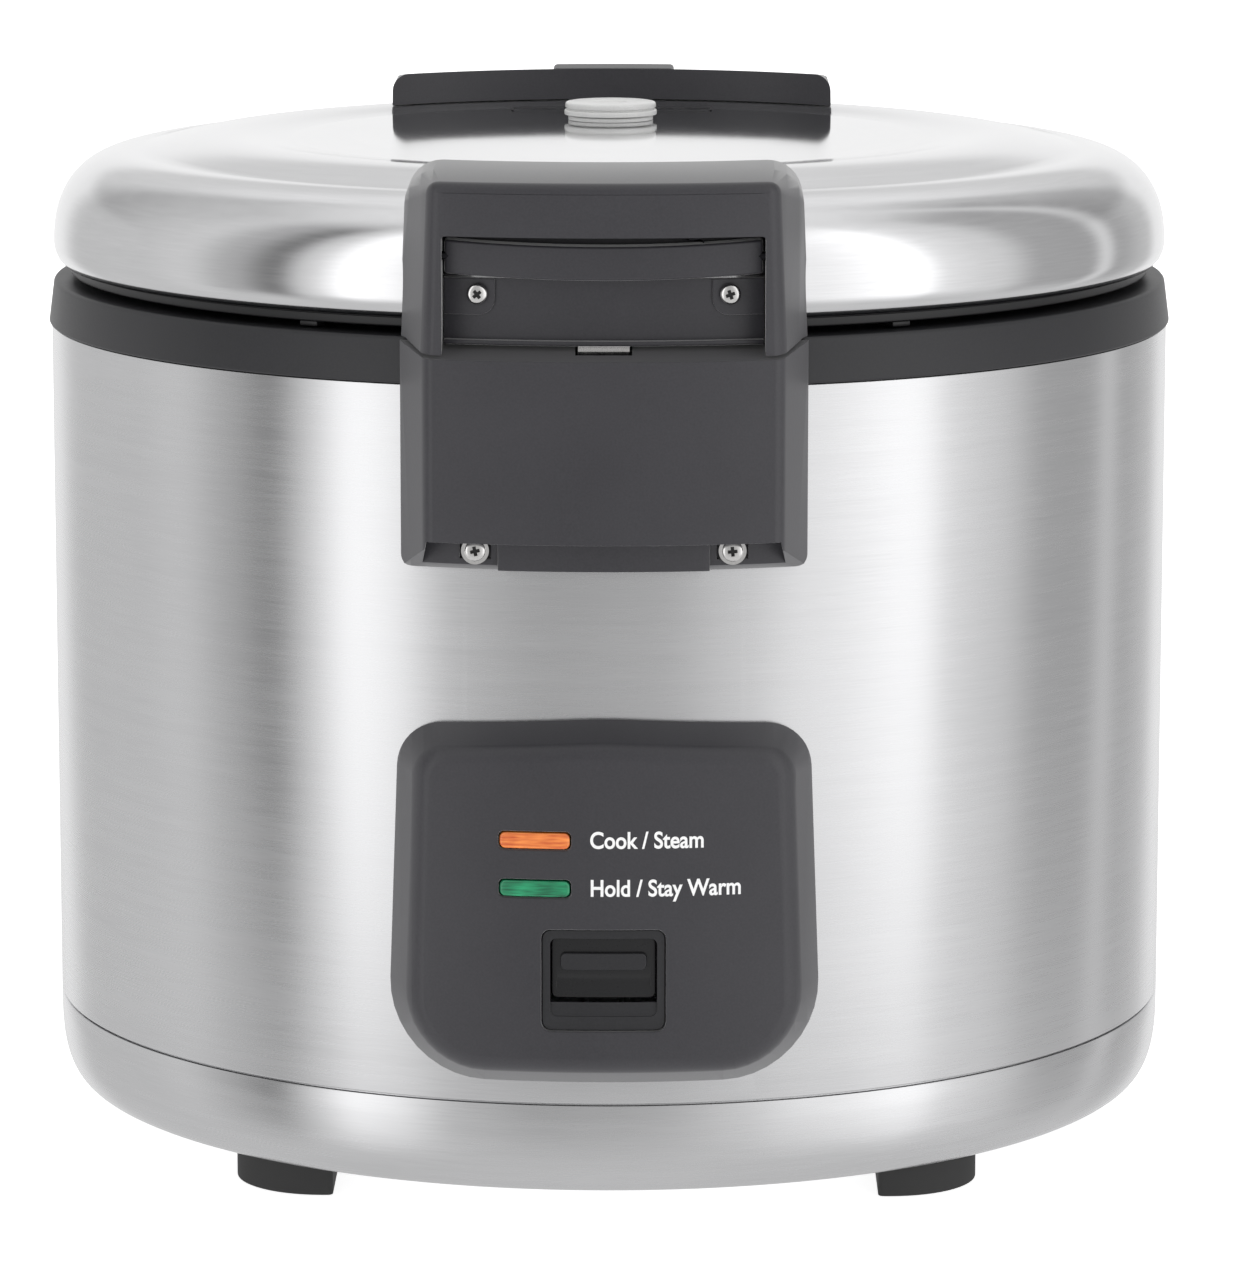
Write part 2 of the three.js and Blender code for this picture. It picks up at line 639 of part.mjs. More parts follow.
// ---- Rear of the body ----
function makeRear() {
  const face = bodyRadius + rearFace;
  const inner = bodyRadius + collarFlare + clearance;
  const top = hingeZ - 10;
  const low = top - rearCoverHeight;
  const shape = outline([
    [-rearHalfWidth, low, 12],
    [rearHalfWidth, low, 12],
    [rearHalfWidth, top + 40, 0],
    [-rearHalfWidth, top + 40, 0],
  ]);
  const block = facedBlock(shape, bodyRadius - 16, 0.2, face);
  const cavity = clip(
    box(-70, 70, -face - 5, -100, low + 12, top - moulding),
    drum(face - moulding, -50, 500),
  );
  const mouth = box(-50, 50, -face + moulding, -100, top - 20, top + 60);
  const cover = cut(block, drum(inner, -50, 500), cavity, mouth, box(-90, 90, -face - 5, 0, top, top + 60));
  add(base, "rear_hinge_cover", atRear(cover), charcoal);

  const plateY = inner + 0.4;
  const earTop = hingePinRadius + 2.4;
  const ear = (x) => join(
    box(x - hingeEarWidth / 2, x + hingeEarWidth / 2, plateY, hingeY + earTop, hingeZ - 24, hingeZ),
    axle(earTop, x - hingeEarWidth / 2, x + hingeEarWidth / 2, hingeY, hingeZ),
  );
  const plate = box(-hingeEarSpread, hingeEarSpread, plateY, plateY + 1.6, hingeZ - 47, hingeZ - 13);
  const pinBore = axle(hingePinRadius + clearance, -80, 80, hingeY, hingeZ);
  add(base, "hinge_bracket_body", cut(join(plate, ear(-hingeEarSpread), ear(hingeEarSpread)), pinBore), zinc);
  add(base, "hinge_pin", axle(hingePinRadius, -hingeEarSpread - 4, hingeEarSpread + 4, hingeY, hingeZ), bright);
  const spring = coilSpring(hingePinRadius + 1.8, 1.5, 6, -18, 18);
  add(base, "hinge_spring", spring.rotateY(Math.PI / 2).translate(0, hingeY, hingeZ), bright);

  const cupTop = low - 4;
  const cupLow = cupTop - cupHeight;
  const cupShape = outline([
    [-cupHalfWidth, cupLow, 8],
    [cupHalfWidth, cupLow, 8],
    [cupHalfWidth, cupTop, 0],
    [-cupHalfWidth, cupTop, 0],
  ]);
  const cupWall = 2;
  const cupInside = outline([
    [-cupHalfWidth + cupWall, cupLow + cupWall, 6],
    [cupHalfWidth - cupWall, cupLow + cupWall, 6],
    [cupHalfWidth - cupWall, cupTop + 5, 0],
    [-cupHalfWidth + cupWall, cupTop + 5, 0],
  ]);
  const ringed = (geometry, innerRadius, outerRadius) =>
    cut(clip(geometry, drum(outerRadius, -50, 500)), drum(innerRadius, -50, 500));
  const cup = cut(
    ringed(slab(cupShape, -face - 5, -100), bodyRadius + 1, face - 1),
    ringed(slab(cupInside, -face - 5, -100), bodyRadius + 1 + cupWall, face - 1 - cupWall),
  );
  add(base, "condensate_cup", atRear(cup), white);

  const inletLow = panTop + inletLift;
  const flange = ringed(
    slab(rectangle(inletHalfWidth, inletLow, inletLow + inletHeight, 4), -face, -100),
    bodyRadius + clearance, bodyRadius + 6);
  const tunnelHalf = inletHalfWidth - 7;
  const tunnel = box(-tunnelHalf, tunnelHalf, -bodyRadius - 3, -bodyRadius + 22, inletLow + 8, inletLow + inletHeight - 8);
  const socket = slab(rectangle(12.5, inletLow + 14, inletLow + inletHeight - 14, 2), -face, -bodyRadius + 18);
  const pins = [-7, 0, 7].map((x) => {
    const z = inletLow + inletHeight / 2 + (x === 0 ? 3 : -2);
    return box(x - 1, x + 1, -bodyRadius + 4, -bodyRadius + 20, z - 2, z + 2);
  });
  const inlet = join(cut(join(flange, tunnel), socket), ...pins);
  add(base, "power_inlet", atRear(inlet), black);
}

// ---- Lid ----
function lidCurve() {
  const rim = lidBottom + 7;
  const shoulder = [0, 0.2, 0.4, 0.6, 0.8, 1].map((share) => {
    const angle = (share * Math.PI) / 2;
    const out = lidShoulder * Math.cos(angle) ** 0.85;
    const up = lidShoulderHeight * Math.sin(angle) ** 0.85;
    return [lidWidest - lidShoulder + out, rim + up];
  });
  return [
    [bodyRadius - lidRimInset, lidBottom],
    [bodyRadius - 2.2, lidBottom + 2],
    ...shoulder,
    [ringOuter, lidTop],
    [ringInner, plateau],
  ];
}

function lidSpace() {
  const curve = lidCurve().slice(2).map(([radius, height]) => [radius + clearance, height + clearance]);
  return turned([[0, collarTop - 20], [lidWidest + clearance, collarTop - 20], ...curve, [0, plateau + clearance]]);
}

function makeLid() {
  const outside = lidCurve();
  const inside = outside.map(([radius, height]) => [radius - 1.2 * sheet, height - sheet]).slice(2).reverse();
  const shell = turned([
    [bodyRadius - lidRimInset - sheet, lidBottom],
    ...outside,
    [0, plateau],
    [0, plateau - sheet],
    ...inside,
    [bodyRadius - lidRimInset - sheet, lidBottom + 3],
  ]);
  const ventHole = post(ventTube + clearance, 0, ventBack, lidBottom, lidTop + 5);
  add(lid, "lid_shell", cut(shell, ventHole), satin);

  const frameOuter = bodyRadius - lidRimInset - 1;
  const frameTop = frameBottom + lidFrameHeight;
  const frameInner = potRadius + 5;
  const frame = turned([
    [frameInner, frameBottom],
    [frameOuter, frameBottom],
    [frameOuter, frameTop],
    [frameOuter - 3, frameTop],
    [frameOuter - 3, frameTop + 8],
    [frameOuter - 3 - moulding, frameTop + 8],
    [frameOuter - 3 - moulding, frameTop],
    [frameInner, frameTop],
  ]);
  add(lid, "lid_frame", frame, black);

  const panRadius = frameOuter - 3 - moulding - clearance;
  const panLow = frameTop + clearance;
  const panDepth = 11;
  const liner = turned([
    [panRadius - sheet, panLow],
    [panRadius, panLow],
    [panRadius, panLow + panDepth],
    [0, panLow + panDepth],
    [0, panLow + panDepth - sheet],
    [panRadius - sheet, panLow + panDepth - sheet],
  ]);
  const linerHole = post(ventTube + clearance, 0, ventBack, collarTop, lidTop);
  const studHole = post(3, 0, 0, collarTop, lidTop, 12);
  add(lid, "lid_liner", cut(liner, linerHole, studHole), zinc);

  const plateEdge = frameInner - 0.5;
  const plateLow = frameBottom - 1;
  const plate = turned([
    [0, plateLow + 8],
    [plateEdge - 25, plateLow],
    [plateEdge, plateLow],
    [plateEdge, plateLow + 1.2],
    [plateEdge - 25, plateLow + 1.2],
    [0, plateLow + 9.2],
  ]);
  const plateHole = post(ventTube + 2, 0, ventBack, plateLow - 5, plateLow + 20);
  const grommetHole = post(5.5, 0, 0, plateLow - 5, plateLow + 20);
  add(lid, "lid_inner_plate", cut(plate, plateHole, grommetHole), aluminium);
  const gasket = turned([
    [plateEdge - 9, potTop + clearance],
    [plateEdge + 1, potTop + clearance],
    [plateEdge + 1, plateLow - clearance],
    [plateEdge - 7, plateLow - clearance],
  ]);
  add(lid, "lid_gasket", gasket, silicone);

  const studTop = panLow + panDepth + 2;
  const stud = turned([
    [0, plateLow + 4],
    [2.6, plateLow + 4],
    [2.6, studTop - 2 + clearance],
    [6, studTop - 2 + clearance],
    [6, studTop + 1],
    [0, studTop + 1],
  ], 12);
  add(lid, "plate_stud", stud, bright);
  const grommet = turned([
    [3, plateLow + 5],
    [5, plateLow + 5],
    [5, plateLow + 10],
    [8, plateLow + 10],
    [8, plateLow + 12],
    [3, plateLow + 12],
  ], 16);
  add(lid, "plate_grommet", grommet, silicone);
}

function makeVent() {
  const seat = plateau + clearance;
  const flangeTop = seat + 1.6;
  const throat = ventTube - 2.6;
  const tubeLow = frameBottom + 9;
  const tubePiece = turned([
    [throat, tubeLow],
    [ventTube, tubeLow],
    [ventTube, seat],
    [ventRadius - 1, seat],
    [ventRadius - 1, flangeTop],
    [throat, flangeTop],
  ], smallSides);
  add(lid, "vent_base", tubePiece.translate(0, ventBack, 0), white);
  const low = flangeTop + clearance;
  const cap = turned([
    [0, low - 9],
    [throat - 0.5, low - 9],
    [throat - 0.5, low],
    [ventRadius, low],
    [ventRadius, low + 1.9],
    [ventRadius - 1.2, low + 1.9],
    [ventRadius - 1.2, low + 2.7],
    [ventRadius - 0.5, low + 2.7],
    [ventRadius - 0.5, low + ventHeight - 0.6],
    [ventRadius - 1.5, low + ventHeight],
    [0, low + ventHeight],
  ], 24);
  add(lid, "vent_cap", cap.translate(0, ventBack, 0), white);
}

// ---- Grip, latch and front of the lid ----
const backPlateInner = bodyRadius + 5.6;
const latchY = -(bodyRadius + 6);
const latchZ = recessTop - 7;

function makeGrip() {
  const face = bodyRadius + gripFace;
  const top = collarTop + gripTop;
  const tall = outline([
    [-gripHalfWidth - 3, gripBottom - 40, 0],
    [gripHalfWidth + 3, gripBottom - 40, 0],
    [gripTopHalfWidth, top, 15],
    [-gripTopHalfWidth, top, 15],
  ]);
  const block = facedBlock(tall, bodyRadius - 12, 0.33, face);
  const keep = box(-80, 80, -face - 5, -(bodyRadius - gripBack), gripBottom, top + 5);
  const recess = box(-recessHalfWidth, recessHalfWidth, -face - 5, -bodyRadius + 8, gripBottom - 5, recessTop);
  const pinHole = axle(1.5 + clearance, -recessHalfWidth - 4.5, recessHalfWidth + 4.5, latchY, latchZ, 12);
  const springHole = post(3.9, 30, latchY - 3, recessTop - 1, recessTop + 6, 12);
  const grip = cut(clip(block, keep), lidSpace(), recess, pinHole, springHole);
  add(lid, "lid_grip_cover", grip, charcoal);

  const half = recessHalfWidth - clearance;
  const plateTop = recessTop - leverBarHeight - 4;
  const sector = (innerRadius, outerRadius, shape) =>
    cut(clip(slab(shape, -bodyRadius - 40, -100), drum(outerRadius, 0, 500)), drum(innerRadius, 0, 500));
  const plate = sector(backPlateInner, backPlateInner + 2, rectangle(half, gripBottom + 0.6, plateTop, 0));
  const lip = sector(backPlateInner, backPlateInner + 5, rectangle(half, gripBottom + 0.6, gripBottom + 2.2, 0));
  const tabs = [-1, 1].map((side) => {
    const shape = outline([
      [side * half, plateTop - 12, 0],
      [side * half, plateTop, 0],
      [side * (half - 17), plateTop, 0],
      [side * (half - 17), plateTop - 12, 5],
    ]);
    return sector(backPlateInner, backPlateInner + 3, shape);
  });
  const screwZ = plateTop - 5;
  const holes = [-1, 1].map((side) => bolt(1.5 + clearance, side * gripScrewSpread, screwZ, -bodyRadius - 30, -100, 12));
  add(lid, "grip_back_plate", cut(join(plate, lip, ...tabs), ...holes), charcoal);

  const headSeat = -Math.sqrt((backPlateInner + 3) ** 2 - (gripScrewSpread - 4) ** 2) - clearance;
  for (const [name, side] of [["grip_screw_left", -1], ["grip_screw_right", 1]]) {
    const x = side * gripScrewSpread;
    const head = bolt(3.5, x, screwZ, headSeat - 1.8, headSeat, 16);
    add(lid, name, join(head, bolt(1.5, x, screwZ, headSeat - 1, headSeat + 3.2, 12)), bright);
  }

  const barLow = recessTop - 3 - leverBarHeight;
  const bar = sector(bodyRadius + 3.4, bodyRadius + 14, rectangle(recessHalfWidth - 3, barLow, recessTop - 3, 1.5));
  const bore = axle(1.5 + clearance, -80, 80, latchY, latchZ, 12);
  const hookBack = -(bodyRadius + 1.4);
  const hookFront = hookBack - 1.5;
  const hookPocket = box(-hookHalfWidth - 0.5, hookHalfWidth + 0.5, hookFront - clearance - 1, -100, barLow - 5, recessTop);
  add(lid, "release_lever", cut(bar, bore, hookPocket), charcoal);
  const hookLow = collarTop - 13;
  const noseTip = -(bodyRadius + collarFlare + 0.6) - 4 - clearance;
  const shank = box(-hookHalfWidth, hookHalfWidth, noseTip - 1.5, noseTip, hookLow, collarTop - 4);
  const web = box(-hookHalfWidth, hookHalfWidth, noseTip - 1.5, hookBack, collarTop - 4, collarTop - 2.5);
  const upright = box(-hookHalfWidth, hookHalfWidth, hookFront, hookBack, collarTop - 4, recessTop - 4);
  add(lid, "latch_hook", join(shank, web, upright), bright);
  add(lid, "latch_pin", axle(1.5, -recessHalfWidth - 4, recessHalfWidth + 4, latchY, latchZ, 12), bright);
  const spring = coilSpring(2.6, 0.8, 4, recessTop - 2.2, recessTop + 5.3);
  add(lid, "latch_spring", spring.translate(30, latchY - 3, 0), bright);
}

// ---- Rear of the lid ----
function makeLidRear() {
  const face = bodyRadius + rearFace;
  const top = collarTop + rearTop;
  const shape = outline([
    [-rearHalfWidth, gripBottom - 40, 0],
    [rearHalfWidth, gripBottom - 40, 0],
    [rearHalfWidth - 1.5, top, 12],
    [-rearHalfWidth + 1.5, top, 12],
  ]);
  const block = facedBlock(shape, bodyRadius - 16, 0.2, face);
  const keep = box(-90, 90, -face - 5, -(bodyRadius - 110), collarTop + 1.5, top + 5);
  const front = drum(bodyRadius - rearReach, 0, 500);
  const fall = sideProfile([
    [-(bodyRadius - rearReach), top],
    [-face, top - rearFall],
    [-face - 10, top - rearFall],
    [-face - 10, top + 5],
    [-(bodyRadius - rearReach), top + 5],
  ], -rearHalfWidth - 5, rearHalfWidth + 5);
  const padTop = collarTop + rearPadTop;
  const pad = box(-23.5, 23.5, -bodyRadius - 10, -bodyRadius + 12, padTop - 8, padTop);
  const bracketRoom = box(-50, 50, -hingeY - 4.4, -bodyRadius + 0.3, collarTop - 5, hingeZ + 24);
  const earSlot = box(-50, 50, -face - 5, -bodyRadius, collarTop - 5, hingeZ + 7);
  const cover = cut(join(cut(clip(block, keep), fall), pad), lidSpace(), front, bracketRoom, earSlot);
  add(lid, "rear_lid_cover", atRear(cover), charcoal);

  const plateY = bodyRadius + 0.6;
  const armWidth = 5;
  const arm = (x) => join(
    box(x - armWidth / 2, x + armWidth / 2, plateY + 0.5, hingeY, hingeZ - 4.5, hingeZ + 9),
    axle(hingePinRadius + 2.4, x - armWidth / 2, x + armWidth / 2, hingeY, hingeZ),
  );
  const plate = box(-36, 36, plateY, plateY + 1.6, hingeZ + 2, hingeZ + 21);
  const pinBore = axle(hingePinRadius + clearance, -80, 80, hingeY, hingeZ);
  const bracket = cut(join(plate, arm(-hingeArmSpread), arm(hingeArmSpread)), pinBore);
  add(lid, "hinge_bracket_lid", bracket, zinc);
}

makePan();
makeFeet();
makeShell();
makeLiner();
makeHeater();
makePot();
makeSensor();
makeLever();
makePanel();
makeFrontCover();
makeRear();
makeLid();
makeVent();
makeGrip();
makeLidRear();

export default cooker;
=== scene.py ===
"""Looks of a large hinged-lid rice cooker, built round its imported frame.

The frame is in metres, +Z up, with the front towards -Y. Sizes below are in millimetres, and a mesh is
scaled to metres when its piece is finished. A "depth" is a distance from the body's upright axis. Cutting
blocks run from INSIDE, a depth within every cover, to OUTSIDE, a depth beyond them all.
"""

import logging
import math
from collections.abc import Iterable, Sequence
from dataclasses import dataclass, field
from enum import Enum

import bmesh
import bpy
from bmesh.types import BMesh
from bpy.types import Material, Node, NodeSocket, NodeTree, Object
from mathutils import Matrix, Vector


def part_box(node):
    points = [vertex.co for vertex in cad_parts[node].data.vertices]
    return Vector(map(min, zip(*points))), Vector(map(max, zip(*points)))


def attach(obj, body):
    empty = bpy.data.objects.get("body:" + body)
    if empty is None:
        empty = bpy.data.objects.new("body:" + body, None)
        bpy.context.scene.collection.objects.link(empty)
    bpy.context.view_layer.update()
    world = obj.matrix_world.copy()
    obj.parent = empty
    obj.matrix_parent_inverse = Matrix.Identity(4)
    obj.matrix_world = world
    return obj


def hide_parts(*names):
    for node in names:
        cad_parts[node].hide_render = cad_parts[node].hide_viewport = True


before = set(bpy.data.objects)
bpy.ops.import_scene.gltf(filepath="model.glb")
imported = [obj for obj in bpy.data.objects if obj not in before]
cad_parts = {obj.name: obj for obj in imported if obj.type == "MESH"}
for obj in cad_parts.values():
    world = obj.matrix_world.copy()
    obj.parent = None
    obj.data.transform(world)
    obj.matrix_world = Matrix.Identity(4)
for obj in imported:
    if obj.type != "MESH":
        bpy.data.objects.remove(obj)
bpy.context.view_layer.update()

MM = 0.001
SIDES = 192
SHARP = math.radians(32)
LEAST_NOISE, MOST_NOISE = 0.3, 0.7
INSIDE, OUTSIDE = 150.0, 260.0

logging.basicConfig(level=logging.INFO, format="%(message)s")
log = logging.getLogger("rice_cooker")

Point = tuple[float, float]
Colour = tuple[float, float, float]


class Body(Enum):
    """The moving groups that a piece can ride on."""

    ROOT = "root"
    LID = "lid"
    LATCH = "latch"
    LEVER = "cook_lever"
    VENT = "vent_cap"
    CUP = "condensate_cup"


class Facing(Enum):
    """Which side of the body a bent piece sits on."""

    FRONT = 0.0
    REAR = math.pi


@dataclass(frozen=True)
class Span:
    """A node's box in millimetres."""

    low: Vector
    high: Vector

    @classmethod
    def of(cls, node: str) -> "Span":
        """Reads the box of a frame node.

        Args:
            node: The node's name.

        Returns:
            Its box.
        """
        low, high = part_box(node)
        return cls(Vector(low) / MM, Vector(high) / MM)


# ---------------------------------------------------------------- shader groups


def _group(name: str, inputs: dict[str, float], outputs: Sequence[str]) -> NodeTree:
    """Makes an empty shader node group with its sockets.

    Args:
        name: The group's name.
        inputs: Its float inputs and their values.
        outputs: Its float outputs.

    Returns:
        The group.
    """
    tree = bpy.data.node_groups.new(name, "ShaderNodeTree")
    for key, value in inputs.items():
        socket = tree.interface.new_socket(key, in_out="INPUT", socket_type="NodeSocketFloat")
        socket.default_value = value
    for key in outputs:
        tree.interface.new_socket(key, in_out="OUTPUT", socket_type="NodeSocketFloat")
    tree.nodes.new("NodeGroupInput").name = "in"
    tree.nodes.new("NodeGroupOutput").name = "out"
    return tree


def _math(tree: NodeTree, action: str, first: NodeSocket | float, second: NodeSocket | float = 0.0) -> NodeSocket:
    """Adds a Math node.

    Args:
        tree: The tree to add to.
        action: The node's operation.
        first: Its first value or link.
        second: Its second value or link.

    Returns:
        The node's result.
    """
    node = tree.nodes.new("ShaderNodeMath")
    node.operation = action
    for slot, value in zip(node.inputs, (first, second)):
        if isinstance(value, NodeSocket):
            tree.links.new(value, slot)
        else:
            slot.default_value = value
    return node.outputs[0]


def _noise(tree: NodeTree, vector: NodeSocket, scale: NodeSocket | float, detail: float = 2.0) -> NodeSocket:
    """Adds a Noise Texture node.

    Args:
        tree: The tree to add to.
        vector: Where the noise is read.
        scale: Its scale, as a value or link.
        detail: How many finer layers it has.

    Returns:
        The node's value.
    """
    node = tree.nodes.new("ShaderNodeTexNoise")
    node.inputs["Detail"].default_value = detail
    tree.links.new(vector, node.inputs["Vector"])
    if isinstance(scale, NodeSocket):
        tree.links.new(scale, node.inputs["Scale"])
    else:
        node.inputs["Scale"].default_value = scale
    return node.outputs["Fac"]


def _range(tree: NodeTree, value: NodeSocket, source: Point, target: Point = (0.0, 1.0),
           smooth: bool = False) -> NodeSocket:
    """Adds a Map Range node.

    Args:
        tree: The tree to add to.
        value: What is mapped.
        source: The two ends that the value runs between.
        target: What they become.
        smooth: Whether the change eases in and out.

    Returns:
        The node's result.
    """
    node = tree.nodes.new("ShaderNodeMapRange")
    node.interpolation_type = "SMOOTHSTEP" if smooth else "LINEAR"
    for key, number in zip(("From Min", "From Max", "To Min", "To Max"), (*source, *target)):
        node.inputs[key].default_value = number
    tree.links.new(value, node.inputs["Value"])
    return node.outputs["Result"]


def _greys(tree: NodeTree, value: NodeSocket, stops: Sequence[Point], interpolation: str = "LINEAR") -> NodeSocket:
    """Adds a Color Ramp node of greys.

    Args:
        tree: The tree to add to.
        value: Where the ramp is read.
        stops: Each stop's position and brightness.
        interpolation: How the ramp runs from stop to stop.

    Returns:
        The node's colour.
    """
    node = tree.nodes.new("ShaderNodeValToRGB")
    node.color_ramp.interpolation = interpolation
    elements = node.color_ramp.elements
    for index, (position, grey) in enumerate(stops):
        element = elements[index] if index < 2 else elements.new(position)
        element.position = position
        element.color = (grey, grey, grey, 1)
    tree.links.new(value, node.inputs["Fac"])
    return node.outputs["Color"]


def _mix(tree: NodeTree, factor: NodeSocket, first: NodeSocket, second: NodeSocket | float,
         blend: str = "MIX") -> NodeSocket:
    """Adds a colour Mix node.

    Args:
        tree: The tree to add to.
        factor: The share of the second colour.
        first: The first colour.
        second: The second colour's link, or its grey.
        blend: How the two are blended.

    Returns:
        The node's colour.
    """
    node = tree.nodes.new("ShaderNodeMix")
    node.data_type = "RGBA"
    node.blend_type = blend
    tree.links.new(factor, node.inputs["Factor"])
    tree.links.new(first, node.inputs[6])
    if isinstance(second, NodeSocket):
        tree.links.new(second, node.inputs[7])
    else:
        node.inputs[7].default_value = (second, second, second, 1)
    return node.outputs[2]


class ShaderGroups:
    """Effects that several finishes share, each made once."""

    def __init__(self) -> None:
        """Builds the groups."""
        self.brushing = self._make_brushing()
        self.grain = self._make_grain()
        self.ribbing = self._make_ribbing()

    @staticmethod
    def _make_brushing() -> NodeTree:
        """Makes fine lines that run round the body's axis.

        Returns:
            A group that puts out streaks, a soft cloud and a height.
        """
        tree = _group("turned_brushing", {"Fineness": 2500.0, "Spread": 14.0}, ("Streak", "Cloud", "Height"))
        source, sink = tree.nodes["in"], tree.nodes["out"]
        coords = tree.nodes.new("ShaderNodeTexCoord").outputs["Object"]
        split = tree.nodes.new("ShaderNodeSeparateXYZ")
        tree.links.new(coords, split.inputs[0])
        across, along, up = split.outputs
        radius = _math(tree, "SQRT", _math(tree, "ADD", _math(tree, "MULTIPLY", across, across),
                                           _math(tree, "MULTIPLY", along, along)))
        safe = _math(tree, "MAXIMUM", radius, 0.001)
        line = _math(tree, "MULTIPLY", _math(tree, "ADD", radius, up), source.outputs["Fineness"])
        joined = tree.nodes.new("ShaderNodeCombineXYZ")
        for slot, part in zip(joined.inputs, (across, along)):
            turn = _math(tree, "MULTIPLY", _math(tree, "DIVIDE", part, safe), source.outputs["Spread"])
            tree.links.new(turn, slot)
        tree.links.new(line, joined.inputs[2])
        fine = _noise(tree, joined.outputs[0], 1.0, 3.0)
        coarse = _noise(tree, joined.outputs[0], 0.11, 2.0)
        streak = _math(tree, "ADD", _math(tree, "MULTIPLY", fine, 0.6), _math(tree, "MULTIPLY", coarse, 0.4))
        tree.links.new(streak, sink.inputs["Streak"])
        tree.links.new(_noise(tree, coords, 9.0, 3.0), sink.inputs["Cloud"])
        tree.links.new(fine, sink.inputs["Height"])
        return tree

    @staticmethod
    def _make_grain() -> NodeTree:
        """Makes the fine spark texture of a moulding.

        Returns:
            A group that puts out specks, a soft cloud and a height.
        """
        tree = _group("spark_grain", {"Fineness": 1400.0}, ("Speck", "Cloud", "Height"))
        source, sink = tree.nodes["in"], tree.nodes["out"]
        coords = tree.nodes.new("ShaderNodeTexCoord").outputs["Object"]
        speck = _noise(tree, coords, source.outputs["Fineness"], 2.0)
        pits = tree.nodes.new("ShaderNodeTexVoronoi")
        tree.links.new(coords, pits.inputs["Vector"])
        tree.links.new(source.outputs["Fineness"], pits.inputs["Scale"])
        tree.links.new(speck, sink.inputs["Speck"])
        tree.links.new(_noise(tree, coords, 24.0, 4.0), sink.inputs["Cloud"])
        height = _math(tree, "ADD", _math(tree, "MULTIPLY", speck, 0.7),
                       _math(tree, "MULTIPLY", pits.outputs["Distance"], 0.3))
        tree.links.new(height, sink.inputs["Height"])
        return tree

    @staticmethod
    def _make_ribbing() -> NodeTree:
        """Makes the fine level ribs that spread a lamp's light.

        Returns:
            A group that puts out ribs, a soft cloud and a height.
        """
        tree = _group("lens_ribbing", {"Fineness": 1500.0}, ("Rib", "Cloud", "Height"))
        source, sink = tree.nodes["in"], tree.nodes["out"]
        coords = tree.nodes.new("ShaderNodeTexCoord").outputs["Object"]
        split = tree.nodes.new("ShaderNodeSeparateXYZ")
        tree.links.new(coords, split.inputs[0])
        across, _, up = split.outputs
        joined = tree.nodes.new("ShaderNodeCombineXYZ")
        tree.links.new(_math(tree, "MULTIPLY", across, 130.0), joined.inputs[0])
        tree.links.new(_math(tree, "MULTIPLY", up, source.outputs["Fineness"]), joined.inputs[2])
        rib = _noise(tree, joined.outputs[0], 1.0, 1.0)
        tree.links.new(rib, sink.inputs["Rib"])
        tree.links.new(_noise(tree, coords, 160.0, 1.0), sink.inputs["Cloud"])
        tree.links.new(rib, sink.inputs["Height"])
        return tree


GROUPS = ShaderGroups()


# ---------------------------------------------------------------- finishes


@dataclass(frozen=True)
class Finish:
    """A surface with two close tints that a pattern mixes, and a roughness that it varies."""

    name: str
    slot: str
    dark: Colour
    light: Colour
    roughness: float
    roughness_swing: float = 0.08
    bump: float = 0.1
    bump_depth: float = 0.00005
    fineness: float = 1400.0

    pattern = "grain"
    mask = "Speck"

    def shader(self, node: Node) -> None:
        """Sets what is the same all over, on the shader's own sockets.

        Args:
            node: The Principled BSDF.
        """

    def material(self) -> Material:
        """Builds the finish once and hands out the same material after that.

        Returns:
            The material.
        """
        known = bpy.data.materials.get(self.name)
        if known:
            return known
        material = bpy.data.materials.new(self.name)
        material.use_nodes = True
        tree = material.node_tree
        shader = tree.nodes["Principled BSDF"]
        group = tree.nodes.new("ShaderNodeGroup")
        group.node_tree = getattr(GROUPS, self.pattern)
        group.inputs["Fineness"].default_value = self.fineness
        ramp = tree.nodes.new("ShaderNodeValToRGB")
        for element, position, tint in zip(ramp.color_ramp.elements, (LEAST_NOISE, MOST_NOISE),
                                           (self.dark, self.light)):
            element.position = position
            element.color = (*tint, 1)
        mixed = _math(tree, "ADD", _math(tree, "MULTIPLY", group.outputs[self.mask], 0.6),
                      _math(tree, "MULTIPLY", group.outputs["Cloud"], 0.4))
        tree.links.new(mixed, ramp.inputs["Fac"])
        tree.links.new(ramp.outputs["Color"], shader.inputs["Base Color"])
        smoothest, roughest = (self.roughness + sign * self.roughness_swing / 2 for sign in (-1, 1))
        swing = _range(tree, mixed, (LEAST_NOISE, MOST_NOISE), (smoothest, roughest))
        tree.links.new(swing, shader.inputs["Roughness"])
        bump = tree.nodes.new("ShaderNodeBump")
        bump.inputs["Strength"].default_value = self.bump
        bump.inputs["Distance"].default_value = self.bump_depth
        tree.links.new(group.outputs["Height"], bump.inputs["Height"])
        tree.links.new(bump.outputs["Normal"], shader.inputs["Normal"])
        self.shader(shader)
        return material


@dataclass(frozen=True)
class Brushed(Finish):
    """Stainless sheet brushed round the body, so that its highlights stretch up and down."""

    fineness: float = 2500.0
    stretch: float = 0.7

    pattern = "brushing"
    mask = "Streak"

    def shader(self, node: Node) -> None:
        """Sets the metal and the stretch of its highlights.

        Args:
            node: The Principled BSDF.
        """
        node.inputs["Metallic"].default_value = 1.0
        node.inputs["Anisotropic"].default_value = self.stretch
        node.inputs["Anisotropic Rotation"].default_value = 0.25


